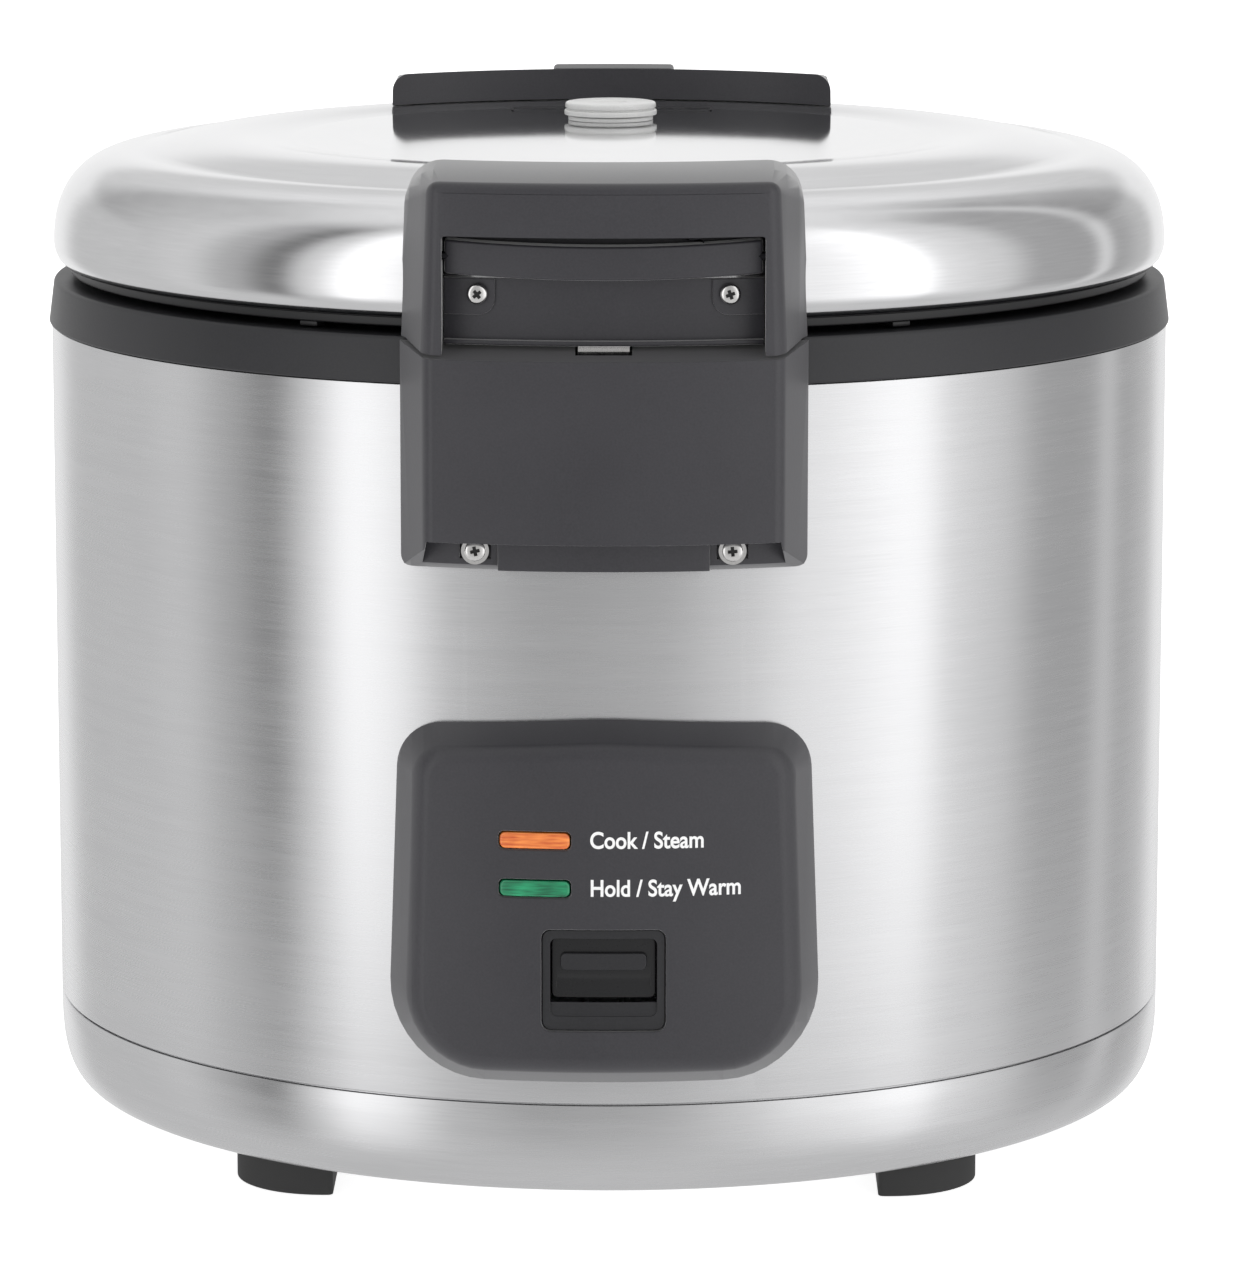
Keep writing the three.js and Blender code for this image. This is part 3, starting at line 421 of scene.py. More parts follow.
@dataclass(frozen=True)
class Moulded(Finish):
    """Spark-textured plastic, whose matt grain catches light at a low angle."""

    haze: float = 0.6

    def shader(self, node: Node) -> None:
        """Sets the haze.

        Args:
            node: The Principled BSDF.
        """
        node.inputs["Sheen Weight"].default_value = self.haze
        node.inputs["Sheen Roughness"].default_value = 0.35
        node.inputs["Specular IOR Level"].default_value = 0.6


@dataclass(frozen=True)
class Metal(Finish):
    """Plain plated, cast or pressed metal."""

    def shader(self, node: Node) -> None:
        """Sets the metal.

        Args:
            node: The Principled BSDF.
        """
        node.inputs["Metallic"].default_value = 1.0


@dataclass(frozen=True)
class Coated(Finish):
    """A surface under a clear or baked coat."""

    coat: float = 0.4
    coat_roughness: float = 0.25

    def shader(self, node: Node) -> None:
        """Sets the coat.

        Args:
            node: The Principled BSDF.
        """
        node.inputs["Coat Weight"].default_value = self.coat
        node.inputs["Coat Roughness"].default_value = self.coat_roughness


@dataclass(frozen=True)
class Glow(Finish):
    """A tinted lamp window with the lamp's light behind it."""

    strength: float = 0.2

    pattern = "ribbing"
    mask = "Rib"

    def shader(self, node: Node) -> None:
        """Sets the glow and the clear coat.

        Args:
            node: The Principled BSDF.
        """
        node.inputs["Emission Color"].default_value = (*self.light, 1)
        node.inputs["Emission Strength"].default_value = self.strength
        node.inputs["Coat Weight"].default_value = 0.8
        node.inputs["Coat Roughness"].default_value = 0.05


STEEL = Brushed("brushed_shell_steel", "brushed_steel", (0.66, 0.66, 0.67), (0.76, 0.76, 0.77), 0.27)
LID_STEEL = Brushed("satin_lid_steel", "lid_steel", (0.71, 0.71, 0.72), (0.81, 0.81, 0.82), 0.15, stretch=0.5)
MIRROR_STEEL = Brushed("bright_lid_steel", "lid_steel", (0.71, 0.71, 0.72), (0.79, 0.79, 0.8), 0.07,
                       roughness_swing=0.03, bump=0.03, stretch=0.1)
CHARCOAL = Moulded("charcoal_moulding", "charcoal_plastic", (0.024, 0.023, 0.028), (0.036, 0.035, 0.041), 0.4,
                   bump=0.35)
DARK = Finish("dark_moulding", "charcoal_plastic", (0.013, 0.013, 0.015), (0.021, 0.021, 0.024), 0.42, bump=0.3)
# Near-black steel: painted shade for the latch pin and spring, which sit in the dark recess round the release bar.
SHADED_STEEL = Metal("shade_darkened_steel", "bright_steel", (0.015, 0.015, 0.017), (0.03, 0.03, 0.034), 0.35)
BLACK = Finish("black_moulding", "black_plastic", (0.008, 0.008, 0.009), (0.014, 0.014, 0.015), 0.4, bump=0.2)
KNOB_BLACK = Coated("knob_black", "black_plastic", (0.003, 0.003, 0.004), (0.006, 0.006, 0.007), 0.3, coat=0.2)
FOOT = Finish("foot_rubber", "foot_rubber", (0.018, 0.018, 0.02), (0.032, 0.032, 0.035), 0.6, bump=0.4)
ZINC = Metal("zinc_plate", "zinc_steel", (0.5, 0.51, 0.53), (0.62, 0.63, 0.65), 0.35)
BRIGHT = Metal("bright_plate", "bright_steel", (0.74, 0.73, 0.72), (0.84, 0.83, 0.82), 0.16, bump=0.02)
CAST = Metal("cast_aluminium", "cast_aluminium", (0.58, 0.59, 0.6), (0.7, 0.71, 0.72), 0.38)
NON_STICK = Coated("non_stick_coat", "non_stick", (0.02, 0.02, 0.022), (0.06, 0.06, 0.063), 0.45, coat=0.3)
SILICONE = Finish("silicone", "silicone", (0.62, 0.61, 0.58), (0.74, 0.73, 0.7), 0.5)
WHITE = Coated("white_moulding", "white_plastic", (0.8, 0.8, 0.79), (0.88, 0.88, 0.87), 0.35, coat=0.5)
PRINT = Finish("white_print", "white_plastic", (0.82, 0.82, 0.82), (0.9, 0.9, 0.9), 0.5, bump=0.05)
ORANGE = Glow("orange_window", "orange_lens", (0.42, 0.03, 0.006), (0.95, 0.3, 0.06), 0.15, fineness=1300.0,
              strength=0.06)
GREEN = Glow("green_window", "green_lens", (0.0, 0.08, 0.035), (0.01, 0.33, 0.14), 0.15, fineness=1300.0,
             strength=0.03)
BOARD = Coated("circuit_lacquer", "circuit_board", (0.02, 0.11, 0.05), (0.03, 0.17, 0.07), 0.3)


# ---------------------------------------------------------------- outlines and meshes


def rounded(corners: Sequence[tuple[float, float, float]], steps: int = 6) -> list[Point]:
    """Rounds the corners of a closed outline with true arcs.

    Args:
        corners: Each corner's two coordinates and fillet radius, in order round the outline.
        steps: How many straight steps an arc takes.

    Returns:
        The outline's points.
    """
    points: list[Point] = []
    for index, (x, y, radius) in enumerate(corners):
        here = Vector((x, y))
        before = Vector(corners[index - 1][:2]) - here
        after = Vector(corners[(index + 1) % len(corners)][:2]) - here
        if radius <= 0:
            points.append((x, y))
            continue
        half = before.angle(after) / 2
        reach = min(radius / math.tan(half), 0.49 * before.length, 0.49 * after.length)
        radius = reach * math.tan(half)
        start, end = here + before.normalized() * reach, here + after.normalized() * reach
        centre = here + (before.normalized() + after.normalized()).normalized() * (radius / math.sin(half))
        sweep = (start - centre).angle_signed(end - centre)
        for step in range(steps + 1):
            arm = (start - centre).copy()
            arm.rotate(Matrix.Rotation(-sweep * step / steps, 2))
            points.append(tuple(centre + arm))
    return points


def turned(profile: Sequence[Point], sides: int = SIDES) -> BMesh:
    """Spins a profile round the upright axis.

    Args:
        profile: (radius, height) points. A profile that starts and ends on the axis stays open there.
        sides: How many steps the spin takes.

    Returns:
        The closed mesh.
    """
    mesh = bmesh.new()
    verts = [mesh.verts.new((0, -radius, height)) for radius, height in profile]
    ring = list(zip(verts, verts[1:]))
    if profile[0][0] > 0 or profile[-1][0] > 0:
        ring.append((verts[-1], verts[0]))
    edges = [mesh.edges.new(pair) for pair in ring]
    bmesh.ops.spin(mesh, geom=verts + edges, cent=(0, 0, 0), axis=(0, 0, 1), dvec=(0, 0, 0),
                   angle=2 * math.pi, steps=sides, use_merge=True)
    bmesh.ops.remove_doubles(mesh, verts=mesh.verts, dist=0.001)
    bmesh.ops.recalc_face_normals(mesh, faces=mesh.faces)
    return mesh


def rod(radius: float, low: float, high: float, y: float = 0.0, sides: int = 48) -> BMesh:
    """Makes an upright cylinder.

    Args:
        radius: Its radius.
        low: The height of its foot.
        high: The height of its top.
        y: How far behind the body's axis it stands.
        sides: How many sides it has.

    Returns:
        The closed mesh.
    """
    mesh = turned([(0.0, low), (radius, low), (radius, high), (0.0, high)], sides)
    bmesh.ops.translate(mesh, verts=mesh.verts, vec=(0, y, 0))
    return mesh


def thickened(mesh: BMesh, way: tuple[float, float, float]) -> BMesh:
    """Pushes flat faces out into a solid.

    Args:
        mesh: The faces.
        way: How far, and which way, they are pushed.

    Returns:
        The same mesh, closed.
    """
    pushed = bmesh.ops.extrude_face_region(mesh, geom=mesh.faces[:], use_keep_orig=True)
    verts = [item for item in pushed["geom"] if isinstance(item, bmesh.types.BMVert)]
    bmesh.ops.translate(mesh, verts=verts, vec=way)
    bmesh.ops.recalc_face_normals(mesh, faces=mesh.faces)
    return mesh


def rectangle(x: Point, z: Point, lower: float, upper: float, steps: int = 6) -> list[Point]:
    """Makes the outline of a rectangle with rounded corners.

    Args:
        x: Its left and right.
        z: Its foot and top.
        lower: The radius of its lower corners.
        upper: The radius of its upper corners.
        steps: How many straight steps a corner takes.

    Returns:
        The outline's points.
    """
    return rounded([(x[0], z[0], lower), (x[1], z[0], lower), (x[1], z[1], upper), (x[0], z[1], upper)], steps)


def slab(outline: Sequence[Point], back: float, front: float) -> BMesh:
    """Pushes a flat X-Z outline from one depth to another.

    Args:
        outline: (x, z) points.
        back: The depth of its back.
        front: The depth of its front.

    Returns:
        The closed mesh, with a point's depth as -Y.
    """
    mesh = bmesh.new()
    mesh.faces.new([mesh.verts.new((x, -back, z)) for x, z in outline])
    return thickened(mesh, (0, back - front, 0))


def sloped_slab(outline: Sequence[Point], back: float, rim: float, front: float, inset: float,
                fillet: float, lift: float = 0.0) -> BMesh:
    """Makes a slab whose front edge slopes in to a smaller face.

    Args:
        outline: (x, z) points.
        back: The depth of its back.
        rim: The depth where the slope starts.
        front: The depth of its face.
        inset: How far the face's edge lies inside the outline.
        fillet: The size of the soft edge round the face.
        lift: How much nearer to the outline's top the face's upper edge lies.

    Returns:
        The closed mesh.
    """
    mesh = slab(outline, back, rim)
    face = min(mesh.faces, key=lambda item: item.calc_center_median().y)
    bmesh.ops.inset_region(mesh, faces=[face], thickness=inset, depth=front - rim, use_even_offset=True)
    face = min(mesh.faces, key=lambda item: item.calc_center_median().y)
    middle = face.calc_center_bounds().z
    raised = [vert for vert in face.verts if vert.co.z > middle]
    bmesh.ops.translate(mesh, verts=raised, vec=(0, 0, lift))
    bmesh.ops.bevel(mesh, geom=list(face.edges), offset=fillet, offset_type="OFFSET", segments=5, profile=0.5,
                    affect="EDGES", material=-1)
    return mesh


def block(x: Point, depth: Point, z: Point) -> BMesh:
    """Makes a box.

    Args:
        x: Its left and right.
        depth: The depths of its back and front.
        z: Its foot and top.

    Returns:
        The closed mesh.
    """
    return slab(rectangle(x, z, 0, 0), *depth)


def side_prism(profile: Sequence[Point], half_width: float) -> BMesh:
    """Pushes a (depth, z) profile across in X.

    Args:
        profile: The points.
        half_width: How far it reaches each way.

    Returns:
        The closed mesh.
    """
    mesh = bmesh.new()
    mesh.faces.new([mesh.verts.new((-half_width, -depth, z)) for depth, z in profile])
    return thickened(mesh, (2 * half_width, 0, 0))


def _stand(mesh: BMesh) -> Object:
    """Puts a mesh in the scene for a moment.

    Args:
        mesh: The mesh, which is used up.

    Returns:
        The object that holds it.
    """
    data = bpy.data.meshes.new("work")
    mesh.to_mesh(data)
    mesh.free()
    thing = bpy.data.objects.new("work", data)
    bpy.context.scene.collection.objects.link(thing)
    return thing


def combined(action: str, first: BMesh, others: Iterable[BMesh]) -> BMesh:
    """Cuts, joins or clips a mesh with others.

    Args:
        action: DIFFERENCE, UNION or INTERSECT.
        first: The mesh to work on.
        others: The meshes to work with.

    Returns:
        The result.
    """
    target = _stand(first)
    tools = [_stand(other) for other in others]
    for tool in tools:
        modifier = target.modifiers.new("cut", "BOOLEAN")
        modifier.operation = action
        modifier.object = tool
        modifier.solver = "EXACT"
    bpy.context.view_layer.update()
    shaped = target.evaluated_get(bpy.context.evaluated_depsgraph_get())
    result = bmesh.new()
    result.from_mesh(shaped.to_mesh())
    shaped.to_mesh_clear()
    for thing in (target, *tools):
        data = thing.data
        bpy.data.objects.remove(thing)
        bpy.data.meshes.remove(data)
    bmesh.ops.remove_doubles(result, verts=result.verts, dist=0.002)
    return result


def carved(first: BMesh, *others: BMesh) -> BMesh:
    """Cuts other meshes out of one.

    Args:
        first: The mesh that is cut.
        others: The meshes that are taken out of it.

    Returns:
        What is left.
    """
    return combined("DIFFERENCE", first, others)


def joined(first: BMesh, *others: BMesh) -> BMesh:
    """Joins meshes into one skin.

    Args:
        first: The first mesh.
        others: The meshes joined to it.

    Returns:
        The whole.
    """
    return combined("UNION", first, others)


def softened(mesh: BMesh, size: float, segments: int = 2, angle: float = 38.0) -> BMesh:
    """Rounds a mesh's sharp edges.

    Args:
        mesh: The mesh.
        size: How far the rounding reaches from an edge.
        segments: How many steps it takes.
        angle: The least angle, in degrees, of an edge that is rounded.

    Returns:
        The same mesh.
    """
    limit = math.radians(angle)
    edges = [edge for edge in mesh.edges if edge.is_manifold and edge.calc_face_angle(0) > limit]
    bmesh.ops.bevel(mesh, geom=edges, offset=size, offset_type="OFFSET", segments=segments, profile=0.5,
                    affect="EDGES", material=-1, clamp_overlap=True)
    return mesh


def bent(mesh: BMesh, facing: Facing = Facing.FRONT, pitch: float = 4.0) -> BMesh:
    """Bends a flat mesh round the body, so that its depths become true radii.

    Args:
        mesh: The flat mesh.
        facing: The side of the body that it goes to.
        pitch: The width of the strips that follow the bend.

    Returns:
        The same mesh.
    """
    reach = max(abs(vert.co.x) for vert in mesh.verts)
    count = int(reach // pitch)
    for step in range(-count, count + 1):
        geom = [*mesh.verts, *mesh.edges, *mesh.faces]
        bmesh.ops.bisect_plane(mesh, geom=geom, dist=0.001, plane_co=(step * pitch, 0, 0), plane_no=(1, 0, 0))
    for vert in mesh.verts:
        vert.co.y = -math.sqrt(max(vert.co.y ** 2 - vert.co.x ** 2, 0.0))
    bmesh.ops.rotate(mesh, verts=mesh.verts, cent=(0, 0, 0), matrix=Matrix.Rotation(facing.value, 3, "Z"))
    return mesh


def finished(mesh: BMesh, name: str, look: Finish, body: Body, *nodes: str, weighted: bool = False) -> Object:
    """Turns a mesh into a piece that rides on a body.

    Args:
        mesh: The mesh, in millimetres.
        name: The piece's name.
        look: Its finish.
        body: The body it rides on.
        nodes: The frame nodes it stands for.
        weighted: Whether large faces set the shading at soft edges.

    Returns:
        The piece.
    """
    bmesh.ops.scale(mesh, verts=mesh.verts, vec=(MM, MM, MM))
    data = bpy.data.meshes.new(name)
    mesh.to_mesh(data)
    mesh.free()
    data.shade_smooth()
    data.set_sharp_from_angle(angle=SHARP)
    piece = bpy.data.objects.new(name, data)
    bpy.context.scene.collection.objects.link(piece)
    data.materials.append(look.material())
    if weighted:
        modifier = piece.modifiers.new("even_shading", "WEIGHTED_NORMAL")
        modifier.keep_sharp = True
    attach(piece, body.value)
    if nodes:
        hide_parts(*nodes)
    log.info("%s: %d faces on %s", name, len(data.polygons), body.value)
    return piece


def dressed(node: str, look: Finish) -> None:
    """Gives a frame node that stays a finish.

    Args:
        node: The node's name.
        look: Its finish.
    """
    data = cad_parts[node].data
    data.materials.clear()
    data.materials.append(look.material())
    log.info("%s: dressed in %s", node, look.name)


# ---------------------------------------------------------------- screws


@dataclass(frozen=True)
class ScrewHead:
    """A cross-recessed pan head, with or without a washer."""

    radius: float
    height: float
    washer: float = 0.0

    @property
    def core(self) -> float:
        """The radius of the dome, which is smaller than the washer's.

        Returns:
            The radius.
        """
        return self.radius * (0.78 if self.washer else 1.0)

    def build(self, x: float, depth: float, z: float, turn: float) -> BMesh:
        """Builds the head facing the front.

        Args:
            x: Its place across.
            depth: How far in front of the axis, along Y, its seat lies.
            z: Its height.
            turn: The angle of its cross, in degrees.

        Returns:
            The mesh.
        """
        core = self.core
        dome = [(core * math.sin(t), self.washer + self.height * math.cos(t) ** 0.6)
                for t in (math.radians(a) for a in range(0, 90, 12))]
        foot = [(core, self.washer), (self.radius, self.washer), (self.radius, 0.0), (0.0, 0.0)]
        if not self.washer:
            foot = [(core, 0.0), (0.0, 0.0)]
        head = turned([(0.0, self.washer + self.height), *dome[1:], *foot], 48)
        arm, slot, depth_of_cross = core * 0.64, core * 0.19, self.height * 0.9
        top = self.washer + self.height
        bars = []
        for angle in (turn, turn + 90):
            bar = bmesh.new()
            bmesh.ops.create_cube(bar, size=2.0)
            bmesh.ops.scale(bar, verts=bar.verts, vec=(arm, slot, depth_of_cross))
            low = [vert for vert in bar.verts if vert.co.z < 0]
            bmesh.ops.scale(bar, verts=low, vec=(0.45, 0.7, 1))
            bmesh.ops.translate(bar, verts=bar.verts, vec=(0, 0, top))
            bmesh.ops.rotate(bar, verts=bar.verts, matrix=Matrix.Rotation(math.radians(angle), 3, "Z"))
            bars.append(bar)
        head = carved(head, *bars)
        bmesh.ops.rotate(head, verts=head.verts, matrix=Matrix.Rotation(math.pi / 2, 3, "X"))
        bmesh.ops.translate(head, verts=head.verts, vec=(x, -depth, z))
        return head

    def build_shade(self, x: float, depth: float, z: float, turn: float) -> BMesh:
        """Builds a black insert at the bottom of the cross, painted shade that darkens the recess.

        Args:
            x: Its place across.
            depth: How far in front of the axis, along Y, the head's seat lies.
            z: Its height.
            turn: The angle of the cross, in degrees.

        Returns:
            The mesh.
        """
        arm, slot = self.core * 0.5, self.core * 0.17
        low, high = self.washer + self.height * 0.15, self.washer + self.height * 0.45
        bars = [slab([(-a, -b), (a, -b), (a, b), (-a, b)], low, high) for a, b in ((arm, slot), (slot, arm))]
        shade = joined(*bars)
        bmesh.ops.rotate(shade, verts=shade.verts, matrix=Matrix.Rotation(math.radians(-turn), 3, "Y"))
        bmesh.ops.translate(shade, verts=shade.verts, vec=(x, -depth, z))
        return shade

    def place(self, name: str, body: Body, spot: tuple[float, float, float], turn: float,
              facing: Facing = Facing.FRONT, *nodes: str) -> None:
        """Builds a whole screw head on its body.

        Args:
            name: The piece's name.
            body: The body it rides on.
            spot: Its place across, the depth of its seat and its height.
            turn: The angle of its cross, in degrees.
            facing: The side of the cooker that it is on.
            nodes: The frame nodes it stands for.
        """
        # Each head gets a black cross piece sunk in its recess: painted shade for the hollow of the cross.
        for suffix, look, build, stands_for in (("head", BRIGHT, self.build, nodes),
                                                ("cross", BLACK, self.build_shade, ())):
            mesh = build(*spot, turn)
            bmesh.ops.rotate(mesh, verts=mesh.verts, matrix=Matrix.Rotation(facing.value, 3, "Z"))
            finished(mesh, f"{name}_{suffix}", look, body, *stands_for)


# ---------------------------------------------------------------- base


@dataclass
class Base:
    """The bottom pan and its feet."""

    corner: float = 16.0
    squareness: float = 3.0
    joggle: float = 8.0
    sheet: float = 1.0
    seam: float = 0.55
    foot_radius: float = 31.0
    pan: Span = field(default_factory=lambda: Span.of("base_pan"))

    def _curve(self, inset: float, lift: float) -> list[Point]:
        """Follows the pan's rolled edge from its floor to its rim.

        Args:
            inset: How far inside the outer face the curve runs.
            lift: How far above the underside it starts.

        Returns:
            (radius, height) points.
        """
        rim = Span.of("outer_shell").low.z - self.seam
        radius = self.pan.high.x
        points = []
        for step in range(17):
            angle = math.pi / 2 * step / 16
            out = (self.corner - inset) * math.sin(angle) ** (2 / self.squareness)
            down = (rim - self.pan.low.z - lift) * math.cos(angle) ** (2 / self.squareness)
            points.append((radius - self.corner + out, rim - down))
        return points

    def build_pan(self) -> None:
        """Builds the pan, with a small roll at its rim and a joggle inside the shell."""
        rim = Span.of("outer_shell").low.z - self.seam
        inner = self.pan.high.x - self.sheet - 0.4
        outer = self._curve(0, 0)[:-1]
        radius = self.pan.high.x
        opening = 112.0
        profile = [
            (opening, self.pan.low.z),
            *outer,
            (radius, rim - 0.7), (radius - 0.2, rim - 0.2), (radius - 0.7, rim),
            (inner, rim), (inner, rim + self.joggle), (inner - self.sheet, rim + self.joggle),
            *reversed(self._curve(self.sheet + 1.4, self.sheet)),
            (opening, self.pan.low.z + self.sheet),
        ]
        finished(turned(profile), "base_pan_steel", STEEL, Body.ROOT, "base_pan")
        dressed("bottom_cover", ZINC)

    def build_feet(self) -> None:
        """Builds the four D-shaped feet with soft edges and a moulded well underneath."""
        for node in ("foot_front_left", "foot_front_right", "foot_rear_left", "foot_rear_right"):
            box = Span.of(node)
            side = 1 if box.low.x > 0 else -1
            flat, outer = (box.low.x, box.high.x) if side > 0 else (box.high.x, box.low.x)
            centre_x = outer - side * self.foot_radius
            centre_y = (box.low.y + box.high.y) / 2
            arc = [(centre_x + side * self.foot_radius * math.cos(a), centre_y + self.foot_radius * math.sin(a))
                   for a in (math.radians(d) for d in range(-90, 91, 6))]
            corners = rounded([(*arc[-1], 0), (flat, box.high.y, 3), (flat, box.low.y, 3), (*arc[0], 0)])
            mesh = bmesh.new()
            mesh.faces.new([mesh.verts.new((x, y, box.low.z)) for x, y in (*arc, *corners[1:-1])])
            thickened(mesh, (0, 0, box.high.z - box.low.z))
            sole = min(mesh.faces, key=lambda item: item.calc_center_median().z)
            bmesh.ops.inset_region(mesh, faces=[sole], thickness=2.2, depth=-1.2, use_even_offset=True)
            finished(softened(mesh, 0.7, 3), node + "_rubber", FOOT, Body.ROOT, node, weighted=True)


# ---------------------------------------------------------------- shell and collar


@dataclass
class Shell:
    """The brushed shell and the dark collar on top of it."""

    sheet: float = 1.0
    bore: float = 158.3
    web: float = 161.0
    skirt: Point = (195.9, 198.6)
    shell: Span = field(default_factory=lambda: Span.of("outer_shell"))
    collar: Span = field(default_factory=lambda: Span.of("upper_collar"))

    def build_shell(self) -> None:
        """Builds the shell with its hidden openings for the panel and the inlet."""
        outer, inner = self.shell.high.x, self.shell.high.x - self.sheet
        profile = rounded([(inner, self.shell.low.z, 0), (outer, self.shell.low.z, 0.6),
                           (outer, self.shell.high.z, 0.3), (inner, self.shell.high.z, 0)], 3)
        panel = Span.of("control_panel")
        opening = block((-46, 46), (INSIDE, 215), (panel.low.z + 8, panel.high.z - 11))
        inlet = Span.of("power_inlet")
        rear = block((-20, 20), (-215, -INSIDE), (inlet.low.z + 6, inlet.high.z - 6))
        finished(carved(turned(profile), opening, rear), "shell_steel", STEEL, Body.ROOT, "outer_shell")

    def build_collar(self) -> None:
        """Builds the collar with the pot's seat, and its soft outer edges."""
        low = self.shell.high.z + 0.35
        top = self.collar.high.z
        pot = Span.of("inner_pot").high.x
        seat = Span.of("inner_pot").high.z - 1.5
        wide, narrow = self.collar.high.x, self.collar.high.x - 2
        inner = self.collar.low.z
        skirt_in, skirt_out = self.skirt
        profile = rounded([
            (self.bore, seat - 13, 0), (self.web, seat - 13, 0), (self.web, seat - 2.6, 0), (pot + 5, seat - 2.6, 0),
            (pot + 5, top - 2.6, 0), (skirt_in, top - 2.6, 0), (skirt_in, inner, 0), (skirt_out, inner, 0),
            (skirt_out, low, 0), (wide, low, 0.7), (narrow, top, 1.6), (pot + 2.2, top, 0.6),
            (pot + 2.2, seat, 0.3), (self.bore, seat, 0.5),
        ], 4)
        finished(turned(profile), "collar_moulding", DARK, Body.ROOT, "upper_collar")


# ---------------------------------------------------------------- lid


@dataclass
class Lid:
    """The domed lid with its ring, vent, inner plate and seal."""

    sheet: float = 1.0
    shoulder: float = 31.0
    shoulder_height: float = 33.0
    squareness: float = 0.85
    ring_outer: float = 135.0
    ring_inner: float = 114.0
    ring_depth: float = 1.5
    vent_hole: float = 10.35
    shell: Span = field(default_factory=lambda: Span.of("lid_shell"))

    def skin(self) -> list[Point]:
        """Follows the lid's outside from its rim to the edge of its middle.

        Returns:
            (radius, height) points.
        """
        widest, low = self.shell.high.x, self.shell.low.z
        rim = low + 7
        points = [(widest - 5, low), (widest - 3.2, low + 0.5), (widest - 1.4, low + 2.4), (widest - 0.4, low + 4.6)]
        for step in range(25):
            angle = math.pi / 2 * step / 24
            out = self.shoulder * math.cos(angle) ** self.squareness
            up = self.shoulder_height * math.sin(angle) ** self.squareness
            points.append((widest - self.shoulder + out, rim + up))
        top = rim + self.shoulder_height
        crown = self.shell.high.z
        for step in range(1, 9):
            share = step / 8
            radius = widest - self.shoulder + (self.ring_outer + 2 - widest + self.shoulder) * share
            points.append((radius, top + (crown - top) * math.sin(share * math.pi / 2)))
        plateau = crown - self.ring_depth
        for step in range(1, 9):
            share = step / 8
            ease = (1 - math.cos(share * math.pi)) / 2
            points.append((self.ring_outer + 2 + (self.ring_inner - self.ring_outer - 2) * share,
                           crown + (plateau - crown) * ease))
        return points

    def build_shell(self) -> None:
        """Builds the steel lid with its vent hole."""
        skin = self.skin()
        plateau = skin[-1][1]
        under = [(radius - self.sheet, height - self.sheet) for radius, height in skin[6:]]
        profile = [(0.0, plateau - self.sheet + 0.4), *reversed(under),
                   (skin[0][0] - self.sheet, skin[0][1] + 2), *skin, (60.0, plateau + 0.3), (0.0, plateau + 0.4)]
        vent = Span.of("vent_base")
        hole = rod(self.vent_hole, plateau - 10, plateau + 10, (vent.low.y + vent.high.y) / 2)
        lid = finished(carved(turned(profile), hole), "lid_steel", LID_STEEL, Body.LID, "lid_shell")
        lid.data.materials.append(MIRROR_STEEL.material())
        for face in lid.data.polygons:
            if face.center.xy.length < self.ring_inner * MM:
                face.material_index = 1

    def build_frame(self) -> None:
        """Builds the dark ring under the lid and the spacers that keep it off the collar."""
        box = Span.of("lid_frame")
        outer = box.high.x
        profile = rounded([
            (160, box.low.z, 0), (outer, box.low.z, 0.6), (outer, box.low.z + 2.9, 0), (outer - 3, box.low.z + 2.9, 0),
            (outer - 3, box.high.z, 0), (outer - 5.6, box.high.z, 0), (outer - 5.6, box.low.z + 2.9, 0),
            (160, box.low.z + 2.9, 0),
        ], 3)
        finished(turned(profile), "lid_ring", BLACK, Body.LID, "lid_frame")
        for name, angle in (("front_left", -31), ("front_right", 31), ("rear_left", -140), ("rear_right", 140)):
            nib = softened(block((-3.5, 3.5), (outer - 6, outer - 0.5), (box.low.z - 1.7, box.low.z)), 0.4)
            bmesh.ops.rotate(nib, verts=nib.verts, matrix=Matrix.Rotation(math.radians(angle), 3, "Z"))
            finished(nib, f"lid_spacer_{name}", BLACK, Body.LID)

    def build_inside(self) -> None:
        """Builds the inner plate, its seal and the liner's trim."""
        plate = Span.of("lid_inner_plate")
        edge = plate.high.x
        low = plate.low.z
        dome = [(edge - 25 - (edge - 25) * s / 12, low + 7.8 * math.sin(math.pi / 2 * s / 12)) for s in range(13)]
        profile = [(0.0, low + 7.8), *dome[-2::-1], (edge - 0.4, low), (edge, low + 0.4), (edge, low + 0.8),
                   (edge - 0.4, low + 1.2), *((radius, height + 1.2) for radius, height in dome)]
        holes = (rod(12, low - 5, low + 20, 60), rod(5.4, low - 5, low + 20, sides=32))
        finished(carved(turned(profile), *holes), "inner_plate", CAST, Body.LID, "lid_inner_plate")
        seal = Span.of("lid_gasket")
        outer = seal.high.x
        ring = rounded([(outer - 10, seal.low.z, 1.0), (outer, seal.low.z, 1.0), (outer, seal.high.z, 0.6),
                        (outer - 8, seal.high.z, 0.6)], 4)
        finished(turned(ring), "seal_ring", SILICONE, Body.LID, "lid_gasket")
        dressed("lid_liner", ZINC)
        dressed("plate_stud", BRIGHT)
        dressed("plate_grommet", SILICONE)

